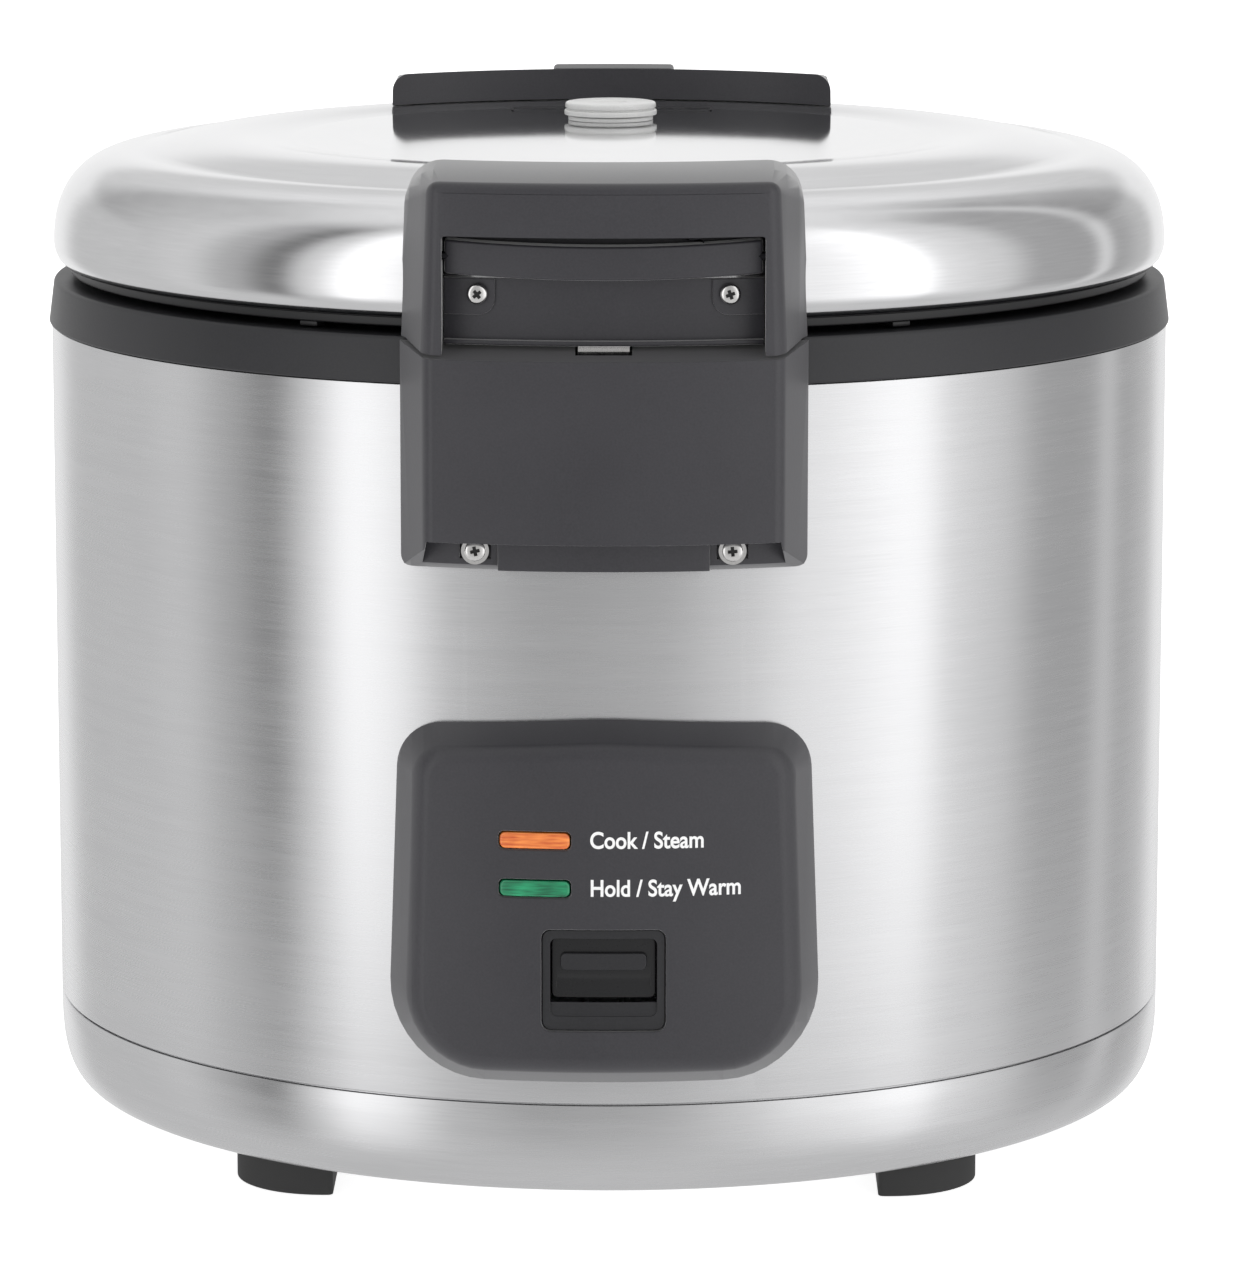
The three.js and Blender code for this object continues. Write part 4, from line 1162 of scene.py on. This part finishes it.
    def build_vent(self) -> None:
        """Builds the steam vent's tube with its flange, and the two-tier cap."""
        base = Span.of("vent_base")
        y = (base.low.y + base.high.y) / 2
        wide = base.high.x
        seat = base.high.z - 1.6
        tube = turned(rounded([(7.4, base.low.z, 0.3), (10, base.low.z, 0.3), (10, seat, 0), (wide, seat, 0.3),
                               (wide, base.high.z, 0.6), (7.4, base.high.z, 0.3)], 3), 96)
        bmesh.ops.translate(tube, verts=tube.verts, vec=(0, y, 0))
        finished(tube, "vent_tube", WHITE, Body.LID, "vent_base")
        cap = Span.of("vent_cap")
        wide, top = cap.high.x, cap.high.z
        low = top - 4.7
        outline = [(0, cap.low.z, 0), (6.9, cap.low.z, 0.5), (6.9, low, 0), (wide, low, 0.3), (wide, low + 1.9, 0.6),
                   (wide - 1.2, low + 1.9, 0.2), (wide - 1.2, low + 2.6, 0.2), (wide - 0.3, low + 2.6, 0.3),
                   (wide - 0.3, top, 1.0), (6, top, 0.3), (5, top - 0.7, 0.3), (0, top - 0.7, 0)]
        body = turned(rounded(outline, 4), 96)
        bmesh.ops.translate(body, verts=body.verts, vec=(0, y, 0))
        finished(body, "vent_cap_moulding", WHITE, Body.VENT, "vent_cap")

    def build_notice(self) -> None:
        """Lays thin rows of plain dashes in a frame round the vent."""
        height = self.skin()[-1][1] + 0.35
        middle = 104.0
        outer = rectangle((-37.5, 37.5), (-9, 9), 5, 5)
        inner = rectangle((-36.8, 36.8), (-8.3, 8.3), 4.4, 4.4)
        mesh = bmesh.new()
        loops = [[mesh.verts.new((x, y + middle, height)) for x, y in loop] for loop in (outer, inner)]
        edges = [mesh.edges.new((loop[i - 1], loop[i])) for loop in loops for i in range(len(loop))]
        bmesh.ops.bridge_loops(mesh, edges=edges)
        for row, (left, right) in enumerate(((-30, -14), (14, 31), (-28, -17), (16, 27))):
            step = left
            while step < right:
                corners = [(step, 0), (step + 2.2, 0), (step + 2.2, 0.9), (step, 0.9)]
                mesh.faces.new([mesh.verts.new((x, y + middle + (3 if row < 2 else -2), height)) for x, y in corners])
                step += 3.2
        finished(thickened(mesh, (0, 0, 0.12)), "vent_notice", DARK, Body.LID)


# ---------------------------------------------------------------- grip and latch


@dataclass
class Grip:
    """The front cover of the lid with its finger recess, release bar and latch."""

    foot_half: float = 67.6
    top_half: float = 65.4
    corner: float = 12.0
    inset: float = 9.0
    lift: float = 6.3
    recess_half: float = 53.0
    recess_back: float = 202.6
    plate_back: float = 205.6
    tab_width: float = 17.0
    tab_height: float = 12.0
    bar_sag: float = 1.8
    bar_depth: Point = (204.6, 213.6)
    rim: float = 198.0
    cover: Span = field(default_factory=lambda: Span.of("lid_grip_cover"))
    lid: Lid = field(default_factory=Lid)

    @property
    def face(self) -> float:
        """The depth of the cover's face.

        Returns:
            The depth.
        """
        return -self.cover.low.y

    @property
    def recess_top(self) -> float:
        """The height of the recess's upper edge.

        Returns:
            The height.
        """
        return Span.of("release_lever").high.z + 3

    def lid_room(self) -> BMesh:
        """Makes the lid's own section, a little larger, to be cut from covers that sit on it.

        Returns:
            The flat prism.
        """
        skin = [(radius + 0.4, height + 0.4) for radius, height in self.lid.skin()[4:]]
        profile = [(100.0, 280.0), (skin[0][0], 280.0), *skin, (100.0, skin[-1][1])]
        return side_prism(profile, 100)

    def build_cover(self) -> None:
        """Builds the cover."""
        low, top = self.cover.low.z, self.cover.high.z
        outline = rounded([(-self.foot_half - 1.5, low - 30, 0), (self.foot_half + 1.5, low - 30, 0),
                           (self.top_half, top, self.corner), (-self.top_half, top, self.corner)], 8)
        mesh = sloped_slab(outline, self.cover.high.y * -1 - 1, self.rim, self.face, self.inset, 3.2,
                           self.lift)
        half = self.recess_half
        recess = slab(rectangle((-half, half), (low - 40, self.recess_top), 0, 1.2, 3),
                      self.recess_back, OUTSIDE)
        low_recess = block((-half, half), (188, OUTSIDE), (low - 40, Span.of("grip_back_plate").high.z + 0.4))
        floor = side_prism([(100, low - 60), (OUTSIDE, low - 60), (OUTSIDE, low - 5), (219, low - 2.2),
                            (203, low + 1.3), (100, low + 1.3)], 90)
        mesh = carved(mesh, floor, recess, low_recess, self.lid_room())
        softened(mesh, 0.5, 2, 50)
        finished(bent(mesh), "grip_moulding", CHARCOAL, Body.LID, "lid_grip_cover", weighted=True)

    def build_back_plate(self) -> None:
        """Builds the plate behind the recess with its lip, tabs and screws."""
        box = Span.of("grip_back_plate")
        half = box.high.x
        inner = self.plate_back
        low, top = box.low.z, box.high.z
        plate = block((-half, half), (inner, inner + 2), (low, top))
        lip = softened(block((-half, half), (inner + 0.5, inner + 5), (low, low + 1.6)), 0.5)
        finished(bent(softened(joined(plate, lip), 0.3)), "recess_back", CHARCOAL, Body.LID, "grip_back_plate",
                 weighted=True)
        head = ScrewHead(3.5, 2.0)
        for side, turn, word in ((-1, 38, "left"), (1, 20, "right")):
            outer, near = side * half, side * (half - self.tab_width)
            foot = top - self.tab_height
            corners = [(outer, foot, 0), (outer, top, 0), (near, top, 0), (near, foot, 5.5)]
            tab = slab(rounded(corners, 6), inner + 1.6, inner + 3)
            finished(bent(softened(tab, 0.35)), f"recess_tab_{word}", CHARCOAL, Body.LID, weighted=True)
            screw = Span.of(f"grip_screw_{word}")
            centre = (screw.low + screw.high) / 2
            head.place(f"grip_screw_{word}", Body.LID, (centre.x, -screw.low.y - 1.8, centre.z), turn, Facing.FRONT,
                       f"grip_screw_{word}")

    def build_lever(self) -> None:
        """Builds the release bar, whose edges sag a little towards the middle."""
        box = Span.of("release_lever")
        half = box.high.x + 2.1
        sags = [self.bar_sag * (1 - (1 - step / 8) ** 2) for step in range(17)]
        top = [(half - 2 * half * step / 16, box.high.z + 1.4 - drop) for step, drop in enumerate(sags)]
        low = [(-half + 2 * half * step / 16, box.low.z + 1.0 - drop) for step, drop in enumerate(sags)]
        mesh = slab([*top, *low], *self.bar_depth)
        softened(mesh, 0.9, 3, 60)
        finished(bent(mesh), "release_bar", CHARCOAL, Body.LATCH, "release_lever", weighted=True)
        dressed("latch_hook", BRIGHT)
        # The latch pin and spring get near-black steel as painted shade, since they show only through the dark gaps of
        # the recess.
        dressed("latch_pin", SHADED_STEEL)
        dressed("latch_spring", SHADED_STEEL)


# ---------------------------------------------------------------- lower front cover


@dataclass
class FrontCover:
    """The latch's cover on the body, with its two washer-head screws."""

    half: float = 67.5
    inset: float = 8.9
    rim: float = 203.0
    lip_height: float = 11.0
    lip_depth: float = 207.0
    lip_half: Point = (61.5, 58.4)
    well_place: float = 42.5
    well_half: float = 5.2
    cover: Span = field(default_factory=lambda: Span.of("front_latch_cover"))

    def build(self) -> None:
        """Builds the cover and its screws."""
        low, top = self.cover.low.z, self.cover.high.z
        face = -self.cover.low.y
        outline = rectangle((-self.half, self.half), (low, top + 40), 0, 0)
        mesh = sloped_slab(outline, 201.4, self.rim, face, self.inset, 2.2)
        below, above = self.lip_half
        lip_top = low + self.lip_height
        lip = slab([(-below, low - 5), (below, low - 5), (above, lip_top), (-above, lip_top)], self.lip_depth, OUTSIDE)
        cavity = block((-54, 54), (INSIDE, face - 3), (low + 14, top - 4))
        slot = block((-9.4, 9.4), (INSIDE, face - 7), (top - 20, top + 5))
        ceiling = side_prism([(INSIDE, top + 1.7), (203, top + 1.7), (220, top - 2), (OUTSIDE, top - 6),
                              (OUTSIDE, top + 60), (INSIDE, top + 60)], 90)
        wells = [block((middle - self.well_half, middle + self.well_half), (205.5, 211.5), (low + 4, low + 12.4))
                 for middle in (-self.well_place, self.well_place)]
        corners = rectangle((-self.half, self.half), (low, top + 60), 4, 0)
        mesh = combined("INTERSECT", mesh, [slab(corners, INSIDE, OUTSIDE)])
        mesh = carved(mesh, ceiling, lip, cavity, slot, *wells)
        softened(mesh, 0.6, 2, 45)
        finished(bent(mesh), "latch_cover_moulding", CHARCOAL, Body.ROOT, "front_latch_cover", weighted=True)
        pad = softened(block((-35, 35), (206.5, 209.0), (low + 0.4, lip_top)), 0.4)
        finished(bent(pad), "latch_cover_pad", CHARCOAL, Body.ROOT, weighted=True)
        head = ScrewHead(4.6, 1.5, washer=0.8)
        for word, turn in (("left", 12), ("right", 5)):
            screw = Span.of(f"cover_screw_{word}")
            centre = (screw.low + screw.high) / 2
            head.place(f"cover_screw_{word}", Body.ROOT, (centre.x, -screw.low.y - 2.2, centre.z), turn,
                       Facing.FRONT, f"cover_screw_{word}")


# ---------------------------------------------------------------- control panel


@dataclass
class Panel:
    """The control panel with its lamps, words, switch frame and knob."""

    inset: float = 7.6
    rim: float = 201.6
    letter_size: float = 7.9
    letter_weight: float = 0.16
    letter_relief: float = 0.06
    letter_squeeze: float = 0.86
    words_left: float = -4.6
    window_half: float = 17.75
    knob_room: float = 5.7
    knob_corner: float = 2.0
    panel: Span = field(default_factory=lambda: Span.of("control_panel"))

    @property
    def face(self) -> float:
        """The depth of the panel's face.

        Returns:
            The depth.
        """
        return -self.panel.low.y

    def outline(self) -> list[Point]:
        """Follows the panel's edge, wider towards its foot and crowned on top.

        Returns:
            (x, z) points.
        """
        low, top = self.panel.low.z - 1.0, self.panel.high.z + 0.6
        return rounded([(-73.2, low, 32), (73.2, low, 32), (68.8, top - 3.2, 16), (0, top, 200),
                        (-68.8, top - 3.2, 16)], 10)

    def build_cover(self) -> None:
        """Builds the panel with its windows."""
        mesh = sloped_slab(self.outline(), 200.4, self.rim, self.face, self.inset, 4.2)
        low, top = self.panel.low.z, self.panel.high.z
        cavity = block((-54, 54), (INSIDE, self.face - 3), (low + 10, top - 11))
        windows = [self._lamp_window(name, 0.5, self.face - 6, OUTSIDE)
                   for name in ("cook_lamp_lens", "warm_lamp_lens")]
        frame_box = Span.of("switch_frame")
        hole = slab(self._around(frame_box, 0.3, 3), 190, OUTSIDE)
        mesh = carved(mesh, cavity, hole, *windows)
        softened(mesh, 0.45, 2, 60)
        finished(bent(mesh), "panel_moulding", CHARCOAL, Body.ROOT, "control_panel", weighted=True)

    @staticmethod
    def _around(box: Span, margin: float, radius: float) -> list[Point]:
        """Makes a rounded rectangle round a box's front view.

        Args:
            box: The box.
            margin: How far outside the box it runs.
            radius: The radius of its corners.

        Returns:
            The outline's points.
        """
        across, up = ((low - margin, high + margin) for low, high in zip(box.low.xz, box.high.xz))
        return rectangle(across, up, radius, radius, 4)

    def _lamp_window(self, node: str, margin: float, back: float, front: float) -> BMesh:
        """Makes a lamp's block, or the hole for it.

        Args:
            node: The lamp's lens in the frame.
            margin: How far outside the window it runs.
            back: The depth of its back.
            front: The depth of its front.

        Returns:
            The flat mesh.
        """
        lens = Span.of(node)
        seen = Span(lens.low + Vector((0.9, 0, 0.2)), lens.high + Vector((0.3, 0, -0.5)))
        return slab(self._around(seen, margin, 1.9), back, front)

    def build_lamps(self) -> None:
        """Builds the two ribbed lamp windows."""
        for node, look in (("cook_lamp_lens", ORANGE), ("warm_lamp_lens", GREEN)):
            mesh = self._lamp_window(node, 0, self.face - 6, self.face + 0.3)
            finished(bent(softened(mesh, 0.8, 3)), node + "_window", look, Body.ROOT, node, weighted=True)
        dressed("lamp_board", BOARD)

    def build_words(self) -> None:
        """Prints two plain words of function beside the lamps."""
        for node, words in (("cook_lamp_lens", "Cook / Steam"), ("warm_lamp_lens", "Hold / Stay Warm")):
            box = Span.of(node)
            curve = bpy.data.curves.new(node + "_words", "FONT")
            curve.body = words
            curve.size = self.letter_size
            curve.offset = self.letter_weight
            curve.extrude = self.letter_relief
            curve.align_y = "CENTER"
            text = bpy.data.objects.new(curve.name, curve)
            bpy.context.scene.collection.objects.link(text)
            bpy.context.view_layer.update()
            mesh = bmesh.new()
            mesh.from_mesh(text.to_mesh())
            bpy.data.objects.remove(text)
            bmesh.ops.scale(mesh, verts=mesh.verts, vec=(self.letter_squeeze, 1, 1))
            bmesh.ops.rotate(mesh, verts=mesh.verts, matrix=Matrix.Rotation(math.pi / 2, 3, "X"))
            place = (self.words_left, -self.face - 0.02, (box.low.z + box.high.z) / 2)
            bmesh.ops.translate(mesh, verts=mesh.verts, vec=place)
            bmesh.ops.remove_doubles(mesh, verts=mesh.verts, dist=0.001)
            finished(bent(mesh), node + "_words", PRINT, Body.ROOT)

    def build_switch(self) -> None:
        """Builds the switch's frame and the knob in its window."""
        box = Span.of("switch_frame")
        knob = Span.of("cook_knob")
        outer = slab(self._around(box, 0, 3), self.face - 14, self.face - 1.2)
        sill = knob.low.z - self.knob_room
        window = rectangle((-self.window_half, self.window_half), (sill, knob.high.z + 0.35), 2.2, 2.2, 4)
        hole = slab(window, INSIDE, OUTSIDE)
        lip = side_prism([(213.2, sill - 0.6), (self.face - 1.5, sill - 0.6), (self.face - 1.7, sill + 0.6),
                          (213.6, sill + 4.6), (213.2, sill + 4.6)], 17.9)
        frame_mesh = softened(joined(carved(outer, hole), lip), 0.5, 3, 50)
        finished(bent(frame_mesh), "switch_surround", DARK, Body.ROOT, "switch_frame", weighted=True)
        front = -knob.low.y
        half = knob.high.x
        body = slab(rectangle((-half, half), (knob.low.z, knob.high.z), *[self.knob_corner] * 2, 4),
                    front - 8.4, front - 1.5)
        hollow = side_prism([(front - 1.0, knob.low.z + 1.5), (front - 2.3, knob.low.z + 5),
                             (front - 2.3, knob.low.z + 7), (front - 1.0, knob.low.z + 9.5)], half - 1.5)
        body = softened(carved(body, hollow), 0.5, 2)
        finished(bent(body), "knob_body", KNOB_BLACK, Body.LEVER, "cook_knob", weighted=True)
        pad_outline = rectangle((-14.4, 14.4), (knob.high.z - 10.8, knob.high.z - 5), 1.8, 1.8, 4)
        pad = slab(pad_outline, front - 2, front)
        finished(bent(softened(pad, 0.5, 3)), "knob_pad", DARK, Body.LEVER, weighted=True)
        dressed("lever_arm", ZINC)


# ---------------------------------------------------------------- rear


@dataclass
class Rear:
    """The hinge covers, the condensate cup and the mains inlet."""

    half: float = 83.4
    front: float = 131.0
    fall: float = 10.5
    pad_drop: float = 4.7
    pad_half: float = 23.5
    bracket_half: float = 50.0
    cup_wall: float = 2.0
    upper: Span = field(default_factory=lambda: Span.of("rear_lid_cover"))
    lower: Span = field(default_factory=lambda: Span.of("rear_hinge_cover"))

    def build_upper(self, lid_room: BMesh) -> None:
        """Builds the lid's hinge cover with the raised pad on top.

        Args:
            lid_room: The lid's own section, to be cut away.
        """
        low, top = self.upper.low.z, self.upper.high.z
        outline = rounded([(-self.half, low - 30, 0), (self.half, low - 30, 0), (self.half - 1.5, top, 6),
                           (-self.half + 1.5, top, 6)], 8)
        mesh = sloped_slab(outline, self.front, 196, 220, 5.5, 3.5)
        fall = side_prism([(self.front - 1, top + 0.1), (220, top - self.fall), (OUTSIDE, top - self.fall - 4),
                           (OUTSIDE, top + 20), (self.front - 1, top + 20)], 100)
        floor = block((-100, 100), (50, OUTSIDE), (low - 60, low))
        axis_z = Span.of("hinge_pin").low.z + 3
        bracket = (-self.bracket_half, self.bracket_half)
        room = block(bracket, (INSIDE, 216.5), (low - 20, axis_z + 24))
        slot = block(bracket, (200, OUTSIDE), (low - 20, axis_z + 7))
        mesh = bent(softened(carved(mesh, fall, floor, lid_room, room, slot), 1.2, 3, 50), Facing.REAR)
        finished(mesh, "hinge_hood", CHARCOAL, Body.LID, "rear_lid_cover", weighted=True)
        high = top - self.pad_drop
        pad = slab(rectangle((-self.pad_half, self.pad_half), (high - 6, high), 0, 1.5, 4), 190, 211)
        finished(bent(softened(pad, 0.6, 2), Facing.REAR), "hinge_hood_pad", DARK, Body.LID, weighted=True)
        for node, look in (("hinge_bracket_lid", ZINC), ("hinge_bracket_body", ZINC), ("hinge_pin", BRIGHT),
                           ("hinge_spring", BRIGHT)):
            dressed(node, look)

    def build_lower(self) -> None:
        """Builds the body's hinge cover."""
        low, top = self.lower.low.z, self.lower.high.z
        outline = rectangle((-self.half, self.half), (low, top + 40), 12, 0, 8)
        mesh = sloped_slab(outline, 201.4, 204, 220, 7, 3)
        ceiling = block((-100, 100), (INSIDE, OUTSIDE), (top, top + 60))
        cavity = block((-70, 70), (INSIDE, 217), (low + 12, top - 3))
        mouth = block((-self.bracket_half, self.bracket_half), (INSIDE, 217), (top - 20, top + 60))
        mesh = softened(carved(mesh, ceiling, cavity, mouth), 0.7, 2, 50)
        finished(bent(mesh, Facing.REAR), "hinge_base_cover", CHARCOAL, Body.ROOT, "rear_hinge_cover", weighted=True)

    def build_cup(self) -> None:
        """Builds the condensate cup as an open-topped hollow with soft edges."""
        box = Span.of("condensate_cup")
        half, low, top = box.high.x, box.low.z, box.high.z
        outer = slab(rectangle((-half, half), (low, top), 9, 0, 8), 201.2, 219)
        wall = self.cup_wall
        inner = slab(rectangle((wall - half, half - wall), (low + wall, top + 9), 9 - wall, 0, 8), 201.2 + wall,
                     219 - wall)
        mesh = softened(carved(outer, inner), 0.7, 3, 50)
        finished(bent(mesh, Facing.REAR), "drip_cup", WHITE, Body.CUP, "condensate_cup", weighted=True)

    def build_inlet(self) -> None:
        """Dresses the mains inlet and adds the screws of its flange."""
        box = Span.of("power_inlet")
        dressed("power_inlet", BLACK)
        head = ScrewHead(3.0, 1.4)
        middle = (box.low.z + box.high.z) / 2
        for word, x in (("left", -20.5), ("right", 20.5)):
            head.place(f"inlet_screw_{word}", Body.ROOT, (x, 204.7, middle), 30, Facing.REAR)


# ---------------------------------------------------------------- inside


@dataclass
class Inside:
    """The pot and the pieces round it that show only when the lid is up or not at all."""

    pot: Span = field(default_factory=lambda: Span.of("inner_pot"))

    def build_pot(self) -> None:
        """Builds the pot with its rolled flange."""
        flange, radius, wall, corner = self.pot.high.x, self.pot.high.x - 8.3, 1.5, 22.0
        low, top = self.pot.low.z, self.pot.high.z

        def bend(size: float) -> list[Point]:
            """Follows the pot's lower corner.

            Args:
                size: The corner's radius.

            Returns:
                (radius, height) points.
            """
            return [(radius - corner + size * math.sin(a), low + corner - size * math.cos(a))
                    for a in (math.pi / 2 * s / 12 for s in range(13))]

        profile = [(0.0, low), *bend(corner), (radius, top - 1.4), (radius + 0.4, top - 1.2), (flange - 0.4, top - 1.2),
                   (flange, top - 0.8), (flange, top - 0.4), (flange - 0.4, top), (radius + 0.6, top),
                   (radius - wall + 0.5, top - 0.5), (radius - wall, top - 1.6), *reversed(bend(corner - wall)),
                   (0.0, low + wall)]
        finished(turned(profile), "pot_shell", NON_STICK, Body.ROOT, "inner_pot")
        for level in range(4):
            z = low + 60 + level * 30
            reach = 4 + 2 * (level % 2)
            mark = block((-reach, reach), (-radius + wall, -radius + wall + 0.25), (z, z + 1))
            finished(mark, f"pot_level_{level + 1}", PRINT, Body.ROOT)

    def dress(self) -> None:
        """Gives the hidden pieces their finishes."""
        for node, look in (
            ("inner_liner", ZINC), ("warming_band", SILICONE), ("heating_plate", CAST), ("heating_element", ZINC),
            ("sensor_cap", CAST), ("sensor_guide", ZINC), ("sensor_spring", BRIGHT), ("sensor_magnet", BLACK),
            ("lever_bracket", ZINC), ("lever_pivot_pin", BRIGHT), ("lever_return_spring", BRIGHT),
            ("microswitch", BLACK), ("strike_plate", ZINC),
        ):
            dressed(node, look)


# ---------------------------------------------------------------- studio


@dataclass
class Studio:
    """The camera, a pale floor and the light of a white studio."""

    distance: float = 2.2585
    height: float = 0.5636
    azimuth: float = math.radians(0.5)
    pitch: float = math.radians(9.9)
    lens: float = 177.3
    shift: float = 0.0061
    strength: float = 2.0
    ground: float = 0.34
    ceiling: Point = (0.38, 0.47)
    rows: tuple[Point, ...] = ((0.0, 1.0), (0.22, 1.0), (0.3, 0.72), (0.5, 0.8), (0.7, 1.0))
    walls: tuple[Point, ...] = (
        (-180, 0.98), (-156, 0.95), (-140, 0.62), (-112, 0.66), (-96, 0.74), (-82, 0.5), (-71, 0.2), (-63, 0.8),
        (-53, 1.55), (-46, 1.35), (-30, 0.62), (-12, 0.46), (10, 0.52), (27, 0.78), (40, 1.1), (67, 1.5), (73, 0.95),
        (86, 0.8), (100, 0.46), (117, 0.44), (123, 0.85), (129, 0.45), (145, 0.6), (156, 0.95), (180, 0.98))

    def build_camera(self) -> None:
        """Sets the camera."""
        data = bpy.data.cameras.new("camera")
        data.lens = self.lens
        data.sensor_width = 36.0
        data.shift_x = self.shift
        data.clip_end = 50
        camera = bpy.data.objects.new("camera", data)
        camera.location = (self.distance * math.sin(self.azimuth), -self.distance * math.cos(self.azimuth), self.height)
        camera.rotation_euler = (math.pi / 2 - self.pitch, 0, self.azimuth)
        bpy.context.scene.collection.objects.link(camera)
        bpy.context.scene.camera = camera

    def build_floor(self) -> None:
        """Lays the floor, which reflections don't see."""
        mesh = bmesh.new()
        bmesh.ops.create_grid(mesh, x_segments=1, y_segments=1, size=6.0)
        data = bpy.data.meshes.new("floor")
        mesh.to_mesh(data)
        mesh.free()
        floor = bpy.data.objects.new("floor", data)
        bpy.context.scene.collection.objects.link(floor)
        material = bpy.data.materials.new("pale_floor")
        material.use_nodes = True
        shader = material.node_tree.nodes["Principled BSDF"]
        shader.inputs["Base Color"].default_value = (0.85, 0.85, 0.85, 1)
        shader.inputs["Roughness"].default_value = 0.9
        shader.inputs["Emission Color"].default_value = (1, 1, 1, 1)
        shader.inputs["Emission Strength"].default_value = 0.8
        data.materials.append(material)
        floor.visible_glossy = False

    def build_light(self) -> None:
        """Lights the studio: bright side walls, a dim front, and a white backdrop for the camera."""
        world = bpy.data.worlds.new("studio")
        bpy.context.scene.world = world
        world.use_nodes = True
        tree = world.node_tree
        background = tree.nodes["Background"]
        coords = tree.nodes.new("ShaderNodeTexCoord").outputs["Generated"]
        split = tree.nodes.new("ShaderNodeSeparateXYZ")
        tree.links.new(coords, split.inputs[0])
        across, along, up = split.outputs
        turn = _math(tree, "ARCTAN2", across, _math(tree, "MULTIPLY", along, -1.0))
        share = _math(tree, "ADD", _math(tree, "DIVIDE", turn, 2 * math.pi), 0.5)
        round_about = [(angle / 360 + 0.5, brightness / self.strength) for angle, brightness in self.walls]
        walls = _greys(tree, share, round_about, "EASE")
        rows = _greys(tree, up, self.rows)
        behind = _range(tree, along, (0.3, 0.7))
        sides = _mix(tree, behind, walls, rows, "MULTIPLY")
        ground = _mix(tree, _range(tree, up, (-0.22, -0.62), smooth=True), sides, self.ground)
        overhead = _range(tree, along, (-0.6, 0.1), self.ceiling)
        whole = _mix(tree, _range(tree, up, (0.72, 0.95), smooth=True), ground, overhead)
        path = tree.nodes.new("ShaderNodeLightPath")
        seen = _mix(tree, path.outputs["Is Camera Ray"], whole, 1 / self.strength)
        tree.links.new(seen, background.inputs["Color"])
        background.inputs["Strength"].default_value = self.strength
        bpy.context.scene.view_settings.view_transform = "Standard"


def main() -> None:
    """Builds the studio and the cooker, group by group, logging each piece's face count as it is made."""
    studio = Studio()
    studio.build_camera()
    studio.build_floor()
    studio.build_light()
    base = Base()
    base.build_pan()
    base.build_feet()
    shell = Shell()
    shell.build_shell()
    shell.build_collar()
    lid = Lid()
    lid.build_shell()
    lid.build_frame()
    lid.build_inside()
    lid.build_vent()
    lid.build_notice()
    grip = Grip()
    grip.build_cover()
    grip.build_back_plate()
    grip.build_lever()
    FrontCover().build()
    panel = Panel()
    panel.build_cover()
    panel.build_lamps()
    panel.build_words()
    panel.build_switch()
    rear = Rear()
    rear.build_upper(grip.lid_room())
    rear.build_lower()
    rear.build_cup()
    rear.build_inlet()
    inside = Inside()
    inside.build_pot()
    inside.dress()


if __name__ == "__main__":
    main()
